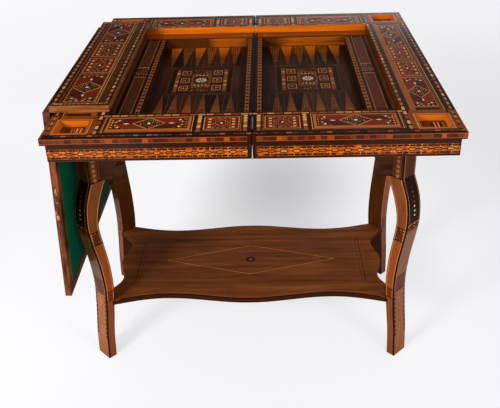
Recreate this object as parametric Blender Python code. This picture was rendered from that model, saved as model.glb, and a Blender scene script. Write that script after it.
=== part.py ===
"""Tric trac table: a hinged games case in two halves on four diagonal S-shaped legs.

The left half of the case (the bed) stays on the base. The right half (the leaf) folds over it on
two hinges at the seam. A cover board in two leaves lies on the left border, its wide leaf hanging.
Frame: +Z up, origin on the floor under the middle of the whole outline, front towards -Y.
"""
import math

import bmesh
import bpy
from mathutils import Matrix, Vector

# Clearances
FIT = 0.0003
CUT_OVERRUN = 0.002

# Case
OPEN_TOP = 0.880
TABLE_HEIGHT = 0.790
RIM_HEIGHT = 0.017
RIM_OVERHANG = 0.009
RIM_CHAMFER = 0.001
BORDER_WIDTH = 0.116
SEAM_GAP = 0.002
LEDGE_DEPTH = 0.019
TRAY_DEPTH = 0.0245
FIELD_THICKNESS = 0.0082
LEDGE_WIDTH = 0.052
SIDE_PANEL_WIDTH = 0.066
CENTRE_BAR_WIDTH = 0.0205
COVER_THICKNESS = 0.007
DIVIDER_THICKNESS = 0.009
BOTTOM_THICKNESS = 0.006
BOTTOM_LAP = 0.008

# Corner wells
WELL_SIZE = 0.077
WELL_LIP = 0.007
WELL_DEPTH = 0.013
WELL_TAPER = 0.003
WELL_FLOOR = 0.003

# Hinges, in the seam and in the cover board
SEAM_HINGE_LENGTH = 0.066
SEAM_BARREL_RADIUS = 0.003
SEAM_PLATE_HEIGHT = 0.022
SEAM_PLATE_THICKNESS = 0.0016
BOARD_HINGE_LENGTH = 0.050
BOARD_BARREL_RADIUS = 0.0026
BOARD_PLATE_HEIGHT = 0.011
BOARD_PLATE_THICKNESS = 0.0012
BOARD_HINGE_SHARE = 0.36
PIN_SHARE = 0.42
PIN_CLEARANCE = 0.0003
BARREL_CLEARANCE = 0.0005
KNUCKLES = 3
BARREL_SIDES = 16

# Cover board
BOARD_THICKNESS = 0.016
BOARD_END_CLEARANCE = 0.001
BOARD_SIDE_CLEARANCE = 0.0035
BOARD_OVERHANG = 0.0104
BOARD_LAP = 0.0071
BOARD_SHIFT = 0.020
BOARD_JOINT_GAP = 0.0005
BAIZE_MARGIN = 0.024
BAIZE_RECESS = 0.0011
BAIZE_THICKNESS = 0.0007

# Base: a foot's front corner is set in from the open case's side, and out from half its depth
BASE_SHIFT = -0.0243
FOOT_INSET = 0.037
FOOT_OUTSET = 0.003
LEG_THICKNESS = 0.050
LEG_DEPTH = 0.025
LEG_SWEEP = 0.0265
POST_DEPTH = 0.034
HOUSING_DEPTH = 0.006
CURVE_STEPS = 4
# Rows from the floor up: height share of the curve, outward share of the sweep, depth share
LEG_FORM_SHARES = (
    (0.00, 0.00, 0.97),
    (0.14, -0.17, 0.98),
    (0.28, -0.50, 1.03),
    (0.42, -0.70, 1.15),
    (0.56, -0.47, 1.26),
    (0.68, -0.05, 1.34),
    (0.79, 0.24, 1.42),
    (0.90, 0.00, 1.74),
    (1.00, -0.79, 1.92),
)

# Aprons and brackets
APRON_THICKNESS = 0.017
APRON_DEPTH = 0.085
APRON_TOP_GAP = 0.0005
BRACKET_HEIGHT = 0.0909
BRACKET_FOOT = 0.030
BRACKET_REACH = 0.085
BRACKET_ARC_STEPS = 10

# Shelf
SHELF_TOP = 0.183
SHELF_THICKNESS = 0.014
SHELF_EDGE_WAIST = 0.027
SHELF_EDGE_BULGE = 0.024
SHELF_END_WAIST = 0.044
SHELF_END_BULGE = 0.018
SHELF_EDGE_WAIST_SHARE = 0.61
SHELF_END_WAIST_SHARE = 0.54
SHELF_CURVE_STEPS = 9

# Pivot on which the closed case turns across the base
PIVOT_RAIL_WIDTH = 0.090
PIVOT_RAIL_THICKNESS = 0.020
PIVOT_BOLT_RADIUS = 0.004
PIVOT_HEAD_RADIUS = 0.011
PIVOT_HEAD_HEIGHT = 0.0025
PIVOT_CLEARANCE = 0.0004
PIVOT_WASHER_RADIUS = 0.012
PIVOT_WASHER_THICKNESS = 0.0015
PIVOT_NUT_RADIUS = 0.0078
PIVOT_NUT_HEIGHT = 0.0065
PIVOT_NUT_SIDES = 6
PIVOT_BOLT_OVERRUN = 0.003
ROUND_SIDES = 24

# Turned faces that meet at less than this angle are smooth
SMOOTH_ANGLE = math.radians(40)

# Values that follow from the sizes above
HALF = OPEN_TOP / 2
INNER = HALF - BORDER_WIDTH
SEAM_EDGE = SEAM_GAP / 2
CASE_THICKNESS = LEDGE_DEPTH + TRAY_DEPTH + FIELD_THICKNESS + FIT + BOTTOM_THICKNESS
CASE_BOTTOM = -CASE_THICKNESS
LEDGE_LEVEL = -LEDGE_DEPTH
FIELD_LEVEL = LEDGE_LEVEL - TRAY_DEPTH
FLOOR_LEVEL = CASE_BOTTOM + BOTTOM_THICKNESS + FIT
TRAY_Y = INNER - LEDGE_WIDTH
TRAY_X = INNER - SIDE_PANEL_WIDTH
WELL_CENTRE = HALF - BORDER_WIDTH / 2
BOARD_LENGTH = 2 * (INNER - BOARD_END_CLEARANCE)
NARROW_LEAF = BORDER_WIDTH + BOARD_OVERHANG + BOARD_LAP
WIDE_LEAF = 2 * (INNER - BOARD_SIDE_CLEARANCE) - NARROW_LEAF - BOARD_JOINT_GAP
POST_TOP = TABLE_HEIGHT - CASE_THICKNESS - APRON_TOP_GAP
APRON_BOTTOM = POST_TOP - APRON_DEPTH
LEG_CURVE_HEIGHT = APRON_BOTTOM - BRACKET_HEIGHT - 2 * FIT
FOOT_REACH_X = HALF - FOOT_INSET
FOOT_REACH_Y = HALF / 2 + FOOT_OUTSET
DIAGONAL = math.sqrt(0.5)

# Each finish: base colour, roughness, metallic
FINISHES = {
    "marquetry": ((0.42, 0.17, 0.06), 0.4, 0.0),
    "honey": ((0.66, 0.30, 0.07), 0.4, 0.0),
    "walnut": ((0.16, 0.07, 0.035), 0.4, 0.0),
    "leg": ((0.27, 0.11, 0.05), 0.4, 0.0),
    "beech": ((0.45, 0.30, 0.17), 0.6, 0.0),
    "baize": ((0.0, 0.10, 0.06), 0.95, 0.0),
    "steel": ((0.55, 0.56, 0.58), 0.35, 1.0),
}


def clear_scene():
    """Take every object out of the scene."""
    for item in list(bpy.data.objects):
        bpy.data.objects.remove(item, do_unlink=True)


def finish_for(name, finish):
    """A material of this piece's own in one of the named finishes."""
    colour, roughness, metallic = FINISHES[finish]
    material = bpy.data.materials.new(name)
    material.use_nodes = True
    shader = material.node_tree.nodes["Principled BSDF"]
    shader.inputs["Base Color"].default_value = (*colour, 1.0)
    shader.inputs["Roughness"].default_value = roughness
    shader.inputs["Metallic"].default_value = metallic
    return material


def add_piece(name, points, faces, finish=None):
    """A closed solid from its corner points and faces, with its faces turned outwards."""
    mesh = bpy.data.meshes.new(name)
    mesh.from_pydata([tuple(point) for point in points], [], faces)
    form = bmesh.new()
    form.from_mesh(mesh)
    bmesh.ops.recalc_face_normals(form, faces=form.faces)
    form.to_mesh(mesh)
    form.free()
    piece = bpy.data.objects.new(name, mesh)
    bpy.context.collection.objects.link(piece)
    if finish is None:
        piece.hide_render = True
        piece.display_type = "WIRE"
    else:
        mesh.materials.append(finish_for(name, finish))
    return piece


def loft(name, first, last, finish=None):
    """A solid between two outlines that have the same number of corners."""
    count = len(first)
    sides = [(i, (i + 1) % count, count + (i + 1) % count, count + i) for i in range(count)]
    ends = [tuple(range(count)), tuple(range(count, 2 * count))]
    return add_piece(name, list(first) + list(last), sides + ends, finish)


def block(name, low, high, finish=None):
    """A rectangular board between two opposite corners."""
    (x0, y0, z0), (x1, y1, z1) = low, high
    outline = ((x0, y0), (x1, y0), (x1, y1), (x0, y1))
    return loft(name, [(x, y, z0) for x, y in outline], [(x, y, z1) for x, y in outline], finish)


def rod(name, centre, radius, length, axis, sides, finish=None):
    """A cylinder whose axis starts at a point and runs along Y or Z."""
    x, y, z = centre
    rings = []
    for reach in (0, length):
        ring = []
        for i in range(sides):
            turn = 2 * math.pi * i / sides
            a, b = radius * math.cos(turn), radius * math.sin(turn)
            ring.append((x + a, y + reach, z + b) if axis == "Y" else (x + a, y + b, z + reach))
        rings.append(ring)
    return loft(name, rings[0], rings[1], finish)


def shape_with(piece, tool, operation="DIFFERENCE"):
    """Cut a piece with a tool, or join the tool to it, and take the tool away."""
    step = piece.modifiers.new(operation.title(), "BOOLEAN")
    step.operation = operation
    step.solver = "EXACT"
    step.object = tool
    depsgraph = bpy.context.evaluated_depsgraph_get()
    mesh = bpy.data.meshes.new_from_object(piece.evaluated_get(depsgraph))
    piece.modifiers.clear()
    piece.data = mesh
    bpy.data.objects.remove(tool, do_unlink=True)


def shade_round(piece):
    """Smooth the turned faces and keep the sharp edges."""
    piece.data.shade_smooth()
    piece.data.set_sharp_from_angle(angle=SMOOTH_ANGLE)


def anchor(name, place, turn=0.0):
    """An empty that carries the pieces of one body, turned about Y."""
    holder = bpy.data.objects.new(name, None)
    holder.location = place
    holder.rotation_euler = (0.0, turn, 0.0)
    bpy.context.collection.objects.link(holder)
    return holder


def carry(holder, pieces):
    """Parent pieces to the empty that carries them."""
    for piece in pieces:
        piece.parent = holder


def rail_section():
    """Border rail: (distance out from the middle, height), rim overhang outside, rebate inside."""
    low = HALF - RIM_OVERHANG
    lap = INNER + BOTTOM_LAP
    return ((INNER, 0), (HALF - RIM_CHAMFER, 0), (HALF, -RIM_CHAMFER),
            (HALF, RIM_CHAMFER - RIM_HEIGHT), (HALF - RIM_CHAMFER, -RIM_HEIGHT), (low, -RIM_HEIGHT),
            (low, CASE_BOTTOM), (lap, CASE_BOTTOM), (lap, FLOOR_LEVEL), (INNER, FLOOR_LEVEL))


def end_rail(name, side, end):
    """Front or back rail of one half: square at the seam, mitred at the corner."""
    mitre_gap = FIT / DIAGONAL
    seam_outline = [(side * SEAM_EDGE, end * out, level) for out, level in rail_section()]
    mitre_outline = [(side * (out - mitre_gap), end * out, level) for out, level in rail_section()]
    return loft(name, seam_outline, mitre_outline, "marquetry")


def side_rail(name, side):
    """Side rail of one half, mitred at both corners."""
    front = [(side * out, -out, level) for out, level in rail_section()]
    back = [(side * out, out, level) for out, level in rail_section()]
    return loft(name, front, back, "marquetry")


def cut_well_pocket(rail, side, end):
    """Square pocket for the corner well, half of it in each of the two rails at the mitre."""
    reach = WELL_SIZE / 2 + FIT
    x, y = side * WELL_CENTRE, end * WELL_CENTRE
    floor = -(WELL_DEPTH + WELL_FLOOR + FIT)
    shape_with(rail, block("pocket", (x - reach, y - reach, floor), (x + reach, y + reach, CUT_OVERRUN)))


def corner_well(name, side, end):
    """Square dish with a flat lip and walls that lean in a little towards its floor."""
    x, y = side * WELL_CENTRE, end * WELL_CENTRE
    outer = WELL_SIZE / 2
    mouth = outer - WELL_LIP
    underside = -(WELL_DEPTH + WELL_FLOOR)
    levels = ((outer, underside), (outer, 0), (mouth, 0), (mouth - WELL_TAPER, -WELL_DEPTH))
    corners = ((-1, -1), (1, -1), (1, 1), (-1, 1))
    points = [(x + a * reach, y + b * reach, level) for reach, level in levels for a, b in corners]
    faces = [(0, 1, 2, 3), (12, 13, 14, 15)]
    for ring in (0, 4, 8):
        for i in range(4):
            j = (i + 1) % 4
            faces.append((ring + i, ring + j, ring + 4 + j, ring + 4 + i))
    return add_piece(name, points, faces, "honey")


def ledge_section(tray_edge):
    """Hollow ledge beside a tray: a cover board with a wall down to the bottom board."""
    outer = INNER - FIT
    under = LEDGE_LEVEL - COVER_THICKNESS
    wall = tray_edge + DIVIDER_THICKNESS
    return ((tray_edge, FLOOR_LEVEL), (wall, FLOOR_LEVEL), (wall, under), (outer, under),
            (outer, LEDGE_LEVEL), (tray_edge, LEDGE_LEVEL))


def end_ledge(name, side, end):
    """Ledge along the front or back of one tray, from the seam to the side rail."""
    inner = [(side * SEAM_EDGE, end * out, level) for out, level in ledge_section(TRAY_Y)]
    outer = [(side * (INNER - FIT), end * out, level) for out, level in ledge_section(TRAY_Y)]
    return loft(name, inner, outer, "walnut")


def side_panel(name, side):
    """Inlaid panel at ledge level beside one tray, between the front and back ledges."""
    reach = TRAY_Y - FIT
    front = [(side * out, -reach, level) for out, level in ledge_section(TRAY_X)]
    back = [(side * out, reach, level) for out, level in ledge_section(TRAY_X)]
    return loft(name, front, back, "marquetry")


def half_board(name, side, start, stop, reach_y, low, high, finish):
    """Flat board of one half between two distances from the seam."""
    x0, x1 = sorted((side * start, side * stop))
    return block(name, (x0, -reach_y, low), (x1, reach_y, high), finish)


def cut_pivot_hole(bottom, place):
    """Clearance hole for the pivot bolt with a counterbore for its head, in the bottom board."""
    x, y = place
    hole = rod("hole", (x, y, CASE_BOTTOM - CUT_OVERRUN), PIVOT_BOLT_RADIUS + PIVOT_CLEARANCE,
               BOTTOM_THICKNESS + 2 * CUT_OVERRUN, "Z", ROUND_SIDES)
    shape_with(bottom, hole)
    seat = CASE_BOTTOM + BOTTOM_THICKNESS - PIVOT_HEAD_HEIGHT - FIT
    sink = rod("sink", (x, y, seat), PIVOT_HEAD_RADIUS + PIVOT_CLEARANCE,
               PIVOT_HEAD_HEIGHT + CUT_OVERRUN, "Z", ROUND_SIDES)
    shape_with(bottom, sink)


def knuckle_span(index, length):
    """Start and end of one knuckle along the hinge, with half the running gap at each end."""
    pitch = length / KNUCKLES
    return -length / 2 + index * pitch + FIT / 2, -length / 2 + (index + 1) * pitch - FIT / 2


def hinge_plate(name, side, rise, gap, length, barrel, height, thickness, own):
    """One plate of a hinge on a Y axis at the origin, with its own knuckles bored for the pin.

    side is the plate's side of the axis in X, rise is +1 or -1 for a plate that runs up or down.
    """
    x0, x1 = sorted((side * gap, side * (gap + thickness)))
    z0, z1 = sorted((0, rise * height))
    plate = block(name, (x0, -length / 2, z0), (x1, length / 2, z1), "steel")
    for index in range(KNUCKLES):
        start, stop = knuckle_span(index, length)
        if index % 2 == own:
            knuckle = rod("knuckle", (0, start, 0), barrel, stop - start, "Y", BARREL_SIDES)
            shape_with(plate, knuckle, "UNION")
        else:
            room = rod("room", (0, start - FIT, 0), barrel + BARREL_CLEARANCE,
                       stop - start + 2 * FIT, "Y", BARREL_SIDES)
            shape_with(plate, room)
    bore = rod("bore", (0, -length / 2 - CUT_OVERRUN, 0), barrel * PIN_SHARE + PIN_CLEARANCE,
               length + 2 * CUT_OVERRUN, "Y", BARREL_SIDES)
    shape_with(plate, bore)
    shade_round(plate)
    return plate


def shift_mesh(piece, offset):
    """Move a piece's mesh within its own frame."""
    piece.data.transform(Matrix.Translation(Vector(offset)))


def cut_hinge_seat(board, side, rise, place, gap, length, barrel, height, thickness):
    """Recess for a hinge plate in a board's edge, with a gutter for the barrel."""
    x, y, z = place
    reach = length / 2 + FIT
    x0, x1 = sorted((x + side * (gap - CUT_OVERRUN), x + side * (gap + thickness + FIT)))
    z0, z1 = sorted((z - rise * CUT_OVERRUN, z + rise * (height + FIT)))
    shape_with(board, block("seat", (x0, y - reach, z0), (x1, y + reach, z1)))
    gutter = rod("gutter", (x, y - reach, z), barrel + BARREL_CLEARANCE, 2 * reach, "Y", BARREL_SIDES)
    shape_with(board, gutter)


def seam_hinge_sizes():
    """Gap, length, barrel radius, plate height and plate thickness of a seam hinge."""
    return SEAM_EDGE, SEAM_HINGE_LENGTH, SEAM_BARREL_RADIUS, SEAM_PLATE_HEIGHT, SEAM_PLATE_THICKNESS


def board_hinge_sizes():
    """The same five sizes of a cover board hinge."""
    return (BOARD_JOINT_GAP / 2, BOARD_HINGE_LENGTH, BOARD_BARREL_RADIUS, BOARD_PLATE_HEIGHT,
            BOARD_PLATE_THICKNESS)


def case_half(body, side, pivot=None):
    """Rails, bottom, ledges, panels, field and wells of one half, in the seam axis frame."""
    pieces = []
    for end, word in ((-1, "front"), (1, "back")):
        rail = end_rail(f"{body}_{word}_rail", side, end)
        cut_well_pocket(rail, side, end)
        cut_hinge_seat(rail, side, -1, (0, end * WELL_CENTRE, 0), *seam_hinge_sizes())
        pieces += [rail, end_ledge(f"{body}_{word}_ledge", side, end),
                   corner_well(f"{body}_{word}_well", side, end)]
    rail = side_rail(f"{body}_side_rail", side)
    for end in (-1, 1):
        cut_well_pocket(rail, side, end)
    lap = INNER + BOTTOM_LAP - FIT
    bottom = half_board(f"{body}_bottom", side, SEAM_EDGE, lap, lap, CASE_BOTTOM,
                        CASE_BOTTOM + BOTTOM_THICKNESS, "beech")
    if pivot:
        cut_pivot_hole(bottom, pivot)
    reach = TRAY_Y - FIT
    bar = half_board(f"{body}_centre_bar", side, SEAM_EDGE, CENTRE_BAR_WIDTH, reach, FLOOR_LEVEL,
                     LEDGE_LEVEL, "walnut")
    field = half_board(f"{body}_field", side, CENTRE_BAR_WIDTH + FIT, TRAY_X - FIT, reach,
                       FLOOR_LEVEL, FIELD_LEVEL, "marquetry")
    return pieces + [rail, bottom, bar, field, side_panel(f"{body}_side_panel", side)]


def seam_hinges():
    """Plates of the front and back seam hinges for each half, and their pins."""
    bed_plates, leaf_plates, pins = [], [], []
    for end, word in ((-1, "front"), (1, "back")):
        for plates, body, side, own in ((bed_plates, "bed", -1, 0), (leaf_plates, "leaf", 1, 1)):
            plate = hinge_plate(f"seam_hinge_{word}_{body}_plate", side, -1, *seam_hinge_sizes(), own)
            shift_mesh(plate, (0, end * WELL_CENTRE, 0))
            plates.append(plate)
        pin = rod(f"seam_hinge_{word}_pin", (0, end * WELL_CENTRE - SEAM_HINGE_LENGTH / 2, 0),
                  SEAM_BARREL_RADIUS * PIN_SHARE, SEAM_HINGE_LENGTH, "Y", BARREL_SIDES, "steel")
        shade_round(pin)
        pins.append(pin)
    return bed_plates + pins, leaf_plates


def board_leaf(name, side, width):
    """One leaf of the cover board, baize side at z = 0, with a sunk bed for the baize."""
    half = BOARD_LENGTH / 2
    start = BOARD_JOINT_GAP / 2
    leaf = half_board(name, side, start, width, half, 0, BOARD_THICKNESS, "marquetry")
    bed = half_board("bed", side, start + BAIZE_MARGIN, width - BAIZE_MARGIN, half - BAIZE_MARGIN,
                     -CUT_OVERRUN, BAIZE_RECESS, None)
    shape_with(leaf, bed)
    for end in (-1, 1):
        place = (0, end * BOARD_LENGTH * BOARD_HINGE_SHARE, 0)
        cut_hinge_seat(leaf, side, 1, place, *board_hinge_sizes())
    baize = half_board(f"{name}_baize", side, start + BAIZE_MARGIN + FIT, width - BAIZE_MARGIN - FIT,
                       half - BAIZE_MARGIN - FIT, BAIZE_RECESS - FIT - BAIZE_THICKNESS,
                       BAIZE_RECESS - FIT, "baize")
    return [leaf, baize]


def board_hinges():
    """Plates of the two cover board hinges for each leaf, and their pins."""
    narrow_plates, wide_plates, pins = [], [], []
    for end, word in ((-1, "front"), (1, "back")):
        y = end * BOARD_LENGTH * BOARD_HINGE_SHARE
        for plates, leaf, side, own in ((narrow_plates, "narrow", 1, 0), (wide_plates, "wide", -1, 1)):
            plate = hinge_plate(f"board_hinge_{word}_{leaf}_plate", side, 1, *board_hinge_sizes(), own)
            shift_mesh(plate, (0, y, 0))
            plates.append(plate)
        pin = rod(f"board_hinge_{word}_pin", (0, y - BOARD_HINGE_LENGTH / 2, 0),
                  BOARD_BARREL_RADIUS * PIN_SHARE, BOARD_HINGE_LENGTH, "Y", BARREL_SIDES, "steel")
        shade_round(pin)
        pins.append(pin)
    return narrow_plates + pins, wide_plates


def smooth_row(rows, index, t):
    """Catmull-Rom blend between two rows of shares, passing through both."""
    last = len(rows) - 1
    a, b, c, d = (rows[min(max(index + k, 0), last)] for k in (-1, 0, 1, 2))
    return [0.5 * (2 * q + (r - p) * t + (2 * p - 5 * q + 4 * r - s) * t * t
                   + (3 * q - p - 3 * r + s) * t ** 3) for p, q, r, s in zip(a, b, c, d)]


def leg_form():
    """Height, outer face and inner face of the leg's curve, measured out from the foot's corner."""
    form = []
    for index in range(len(LEG_FORM_SHARES) - 1):
        for step in range(CURVE_STEPS):
            form.append(smooth_row(LEG_FORM_SHARES, index, step / CURVE_STEPS))
    form.append(LEG_FORM_SHARES[-1])
    return [(height * LEG_CURVE_HEIGHT, sweep * LEG_SWEEP, sweep * LEG_SWEEP - depth * LEG_DEPTH)
            for height, sweep, depth in form]


def leg_at(level):
    """Outer and inner face of the leg at one height."""
    form = leg_form()
    for (z0, a0, b0), (z1, a1, b1) in zip(form, form[1:]):
        if z0 <= level <= z1:
            t = (level - z0) / (z1 - z0)
            return a0 + (a1 - a0) * t, b0 + (b1 - b0) * t
    return form[-1][1], form[-1][2]


def foot_middle():
    """Middle of a foot's outward face, from the middle of the base."""
    step = LEG_THICKNESS / 2 * DIAGONAL
    return FOOT_REACH_X + step, FOOT_REACH_Y - step


def leg_point(side, end, out, across):
    """Plan point of a leg: out along its diagonal, across its thickness."""
    x, y = foot_middle()
    return (side * (x + (out + across) * DIAGONAL), end * (y + (out - across) * DIAGONAL))


def shelf_seat():
    """Distance out of the leg's inner face at the shelf's middle height."""
    return leg_at(SHELF_TOP - SHELF_THICKNESS / 2)[1]


def leg(name, side, end):
    """Sawn S-shaped leg with its square post, set on the diagonal, housed for the shelf."""
    form = leg_form()
    post_out = form[-1][1]
    outline = [(out, z) for z, out, _ in form]
    outline += [(post_out, POST_TOP), (post_out - POST_DEPTH, POST_TOP),
                (post_out - POST_DEPTH, LEG_CURVE_HEIGHT)]
    outline += [(inner, z) for z, _, inner in reversed(form)]
    half = LEG_THICKNESS / 2
    piece = loft(name, [(s, -half, z) for s, z in outline], [(s, half, z) for s, z in outline], "leg")
    seat = shelf_seat()
    housing = block("housing", (seat - LEG_DEPTH, -half - CUT_OVERRUN, SHELF_TOP - SHELF_THICKNESS - FIT),
                    (seat + HOUSING_DEPTH, half + CUT_OVERRUN, SHELF_TOP + FIT))
    shape_with(piece, housing)
    x, y = foot_middle()
    piece.location = (side * x, end * y, 0)
    piece.rotation_euler = (0, 0, math.atan2(end, side))
    return piece


def post_corners():
    """Plan distances of the post's inward face: its front corner and its side corner."""
    out = leg_form()[-1][1] - POST_DEPTH
    half = LEG_THICKNESS / 2
    near = leg_point(1, 1, out, -half)
    far = leg_point(1, 1, out, half)
    return near, far


def apron_board(name, outline, place):
    """Board behind its outer face, its ends that meet a post cut on the diagonal.

    outline rows are (along, height, end): end is +1 or -1 where the edge lies on a post's inward
    face and so grows by the board's thickness towards that end, and 0 elsewhere. place turns
    (along, depth, height) into a point.
    """
    thick = APRON_THICKNESS
    outer = [place(along, 0, level) for along, level, _ in outline]
    inner = [place(along + end * thick, thick, level) for along, level, end in outline]
    return loft(name, outer, inner, "leg")


def apron_places():
    """For each apron: name, half length at its outer face, and its placing function."""
    (front_x, front_y), (side_x, side_y) = post_corners()
    return (
        ("front", front_x, lambda a, d, z: (a, d - front_y, z)),
        ("back", front_x, lambda a, d, z: (a, front_y - d, z)),
        ("left", side_y, lambda a, d, z: (d - side_x, a, z)),
        ("right", side_y, lambda a, d, z: (side_x - d, a, z)),
    )


def bracket_outline(end, reach, tip, top):
    """Outline of one bracket: flat foot, concave quarter arc up to the apron, edge on the post."""
    toe = reach - BRACKET_FOOT
    arc = []
    for i in range(BRACKET_ARC_STEPS + 1):
        turn = math.pi / 2 * i / BRACKET_ARC_STEPS
        along = toe - BRACKET_REACH * (1 - math.cos(turn))
        arc.append((end * along, tip + (top - tip) * math.sin(turn), 0))
    return [(end * reach, tip, end), *arc, (end * reach, top, end)]


def aprons_and_brackets():
    """Four aprons under the case and two concave brackets below each, against the posts."""
    pieces = []
    tip = LEG_CURVE_HEIGHT + FIT
    for word, half, place in apron_places():
        reach = half - FIT / DIAGONAL
        outline = ((-reach, APRON_BOTTOM, -1), (reach, APRON_BOTTOM, 1), (reach, POST_TOP, 1),
                   (-reach, POST_TOP, -1))
        pieces.append(apron_board(f"apron_{word}", outline, place))
        ends = ("left", "right") if word in ("front", "back") else ("front", "back")
        for end, other in zip((-1, 1), ends):
            outline = bracket_outline(end, reach, tip, APRON_BOTTOM - FIT)
            pieces.append(apron_board(f"bracket_{word}_{other}", outline, place))
    return pieces


def serpentine(middle, waist, corner, bulge, dip):
    """Half of one shelf edge from its middle to its corner, as (along, out) points.

    A half cosine wave falls by bulge from the middle to the waist, then a quarter cosine wave
    rises by dip to the corner.
    """
    points = []
    for i in range(SHELF_CURVE_STEPS):
        t = i / SHELF_CURVE_STEPS
        points.append((waist * t, middle - bulge * (1 - math.cos(math.pi * t)) / 2))
    for i in range(SHELF_CURVE_STEPS + 1):
        t = i / SHELF_CURVE_STEPS
        rise = dip * (1 - math.cos(math.pi * t / 2))
        points.append((waist + (corner - waist) * t, middle - bulge + rise))
    return points


def shelf():
    """Serpentine shelf with its corners cut on the diagonal and let into the legs."""
    seat = shelf_seat()
    half = LEG_THICKNESS / 2
    edge_x, edge_y = leg_point(1, 1, seat, -half)
    end_x, end_y = leg_point(1, 1, seat, half)
    tongue = (HOUSING_DEPTH - FIT) * DIAGONAL
    edge_middle = edge_y - SHELF_EDGE_WAIST + SHELF_EDGE_BULGE
    end_middle = end_x - SHELF_END_WAIST + SHELF_END_BULGE
    edge = serpentine(edge_middle, edge_x * SHELF_EDGE_WAIST_SHARE, edge_x, SHELF_EDGE_BULGE,
                      SHELF_EDGE_WAIST)
    end = serpentine(end_middle, end_y * SHELF_END_WAIST_SHARE, end_y, SHELF_END_BULGE,
                     SHELF_END_WAIST)
    quarter = edge + [(edge_x + tongue, edge_y + tongue), (end_x + tongue, end_y + tongue)]
    quarter += [(out, along) for along, out in reversed(end)]
    front_right = [(x, -y) for x, y in reversed(quarter[:-1])]
    front_left = [(-x, -y) for x, y in quarter[1:]]
    back_left = [(-x, y) for x, y in reversed(quarter[1:-1])]
    outline = quarter + front_right + front_left + back_left
    underside = [(x, y, SHELF_TOP - SHELF_THICKNESS) for x, y in outline]
    return loft("shelf", underside, [(x, y, SHELF_TOP) for x, y in outline], "walnut")


def pivot_place():
    """Pivot of the closed case, from the seam: a quarter turn about it centres the bed on the base."""
    x = (BASE_SHIFT - HALF / 2) / 2
    return x, BASE_SHIFT - x


def bored_ring(name, place, radius, height, sides):
    """Washer or nut round the pivot bolt."""
    x, y, low = place
    ring = rod(name, place, radius, height, "Z", sides, "steel")
    bore = rod("bore", (x, y, low - CUT_OVERRUN), PIVOT_BOLT_RADIUS + FIT, height + 2 * CUT_OVERRUN,
               "Z", ROUND_SIDES)
    shape_with(ring, bore)
    return ring


def pivot_parts():
    """Pivot rail between the front and back aprons, with the bolt, washer and nut below it."""
    from_seam, y = pivot_place()
    x = from_seam - BASE_SHIFT
    inside = post_corners()[0][1] - APRON_THICKNESS - FIT
    low = POST_TOP - PIVOT_RAIL_THICKNESS
    half = PIVOT_RAIL_WIDTH / 2
    rail = block("pivot_rail", (x - half, -inside, low), (x + half, inside, POST_TOP), "beech")
    hole = rod("hole", (x, y, low - CUT_OVERRUN), PIVOT_BOLT_RADIUS + PIVOT_CLEARANCE,
               PIVOT_RAIL_THICKNESS + 2 * CUT_OVERRUN, "Z", ROUND_SIDES)
    shape_with(rail, hole)
    washer_low = low - FIT - PIVOT_WASHER_THICKNESS
    nut_low = washer_low - FIT - PIVOT_NUT_HEIGHT
    washer = bored_ring("pivot_washer", (x, y, washer_low), PIVOT_WASHER_RADIUS,
                        PIVOT_WASHER_THICKNESS, ROUND_SIDES)
    nut = bored_ring("pivot_nut", (x, y, nut_low), PIVOT_NUT_RADIUS, PIVOT_NUT_HEIGHT,
                     PIVOT_NUT_SIDES)
    head_low = TABLE_HEIGHT - CASE_THICKNESS + BOTTOM_THICKNESS - PIVOT_HEAD_HEIGHT
    tip = nut_low - PIVOT_BOLT_OVERRUN
    bolt = rod("pivot_bolt", (x, y, tip), PIVOT_BOLT_RADIUS, head_low + PIVOT_HEAD_HEIGHT / 2 - tip, "Z",
               ROUND_SIDES, "steel")
    head = rod("head", (x, y, head_low), PIVOT_HEAD_RADIUS, PIVOT_HEAD_HEIGHT, "Z", ROUND_SIDES)
    shape_with(bolt, head, "UNION")
    for piece in (washer, bolt):
        shade_round(piece)
    return [rail, washer, nut, bolt]


def base_parts():
    """Legs, aprons, brackets, shelf and pivot, around the middle of the base."""
    pieces = []
    for end, depth in ((-1, "front"), (1, "back")):
        for side, hand in ((-1, "left"), (1, "right")):
            pieces.append(leg(f"leg_{depth}_{hand}", side, end))
    return pieces + aprons_and_brackets() + [shelf()] + pivot_parts()


def board_axis():
    """Axis of the cover board's hinges, from the seam axis."""
    return -(HALF + BOARD_OVERHANG) - BOARD_JOINT_GAP / 2, FIT


def hanging_lean():
    """Lean of the hanging leaf, which rests against the outer corners of the left knees."""
    axis_x, axis_z = board_axis()
    lean = 0.0
    for z, out, _ in leg_form():
        reach = BASE_SHIFT - leg_point(1, 1, out, LEG_THICKNESS / 2)[0] - FIT
        lean = max(lean, math.atan2(axis_x - reach, TABLE_HEIGHT + axis_z - z))
    return lean


def outline_shift():
    """Distance of the seam from the middle of the whole outline, the hanging leaf included."""
    lean = hanging_lean()
    left = -board_axis()[0] + WIDE_LEAF * math.sin(lean) + BOARD_THICKNESS * math.cos(lean)
    return (left - HALF) / 2


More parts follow.
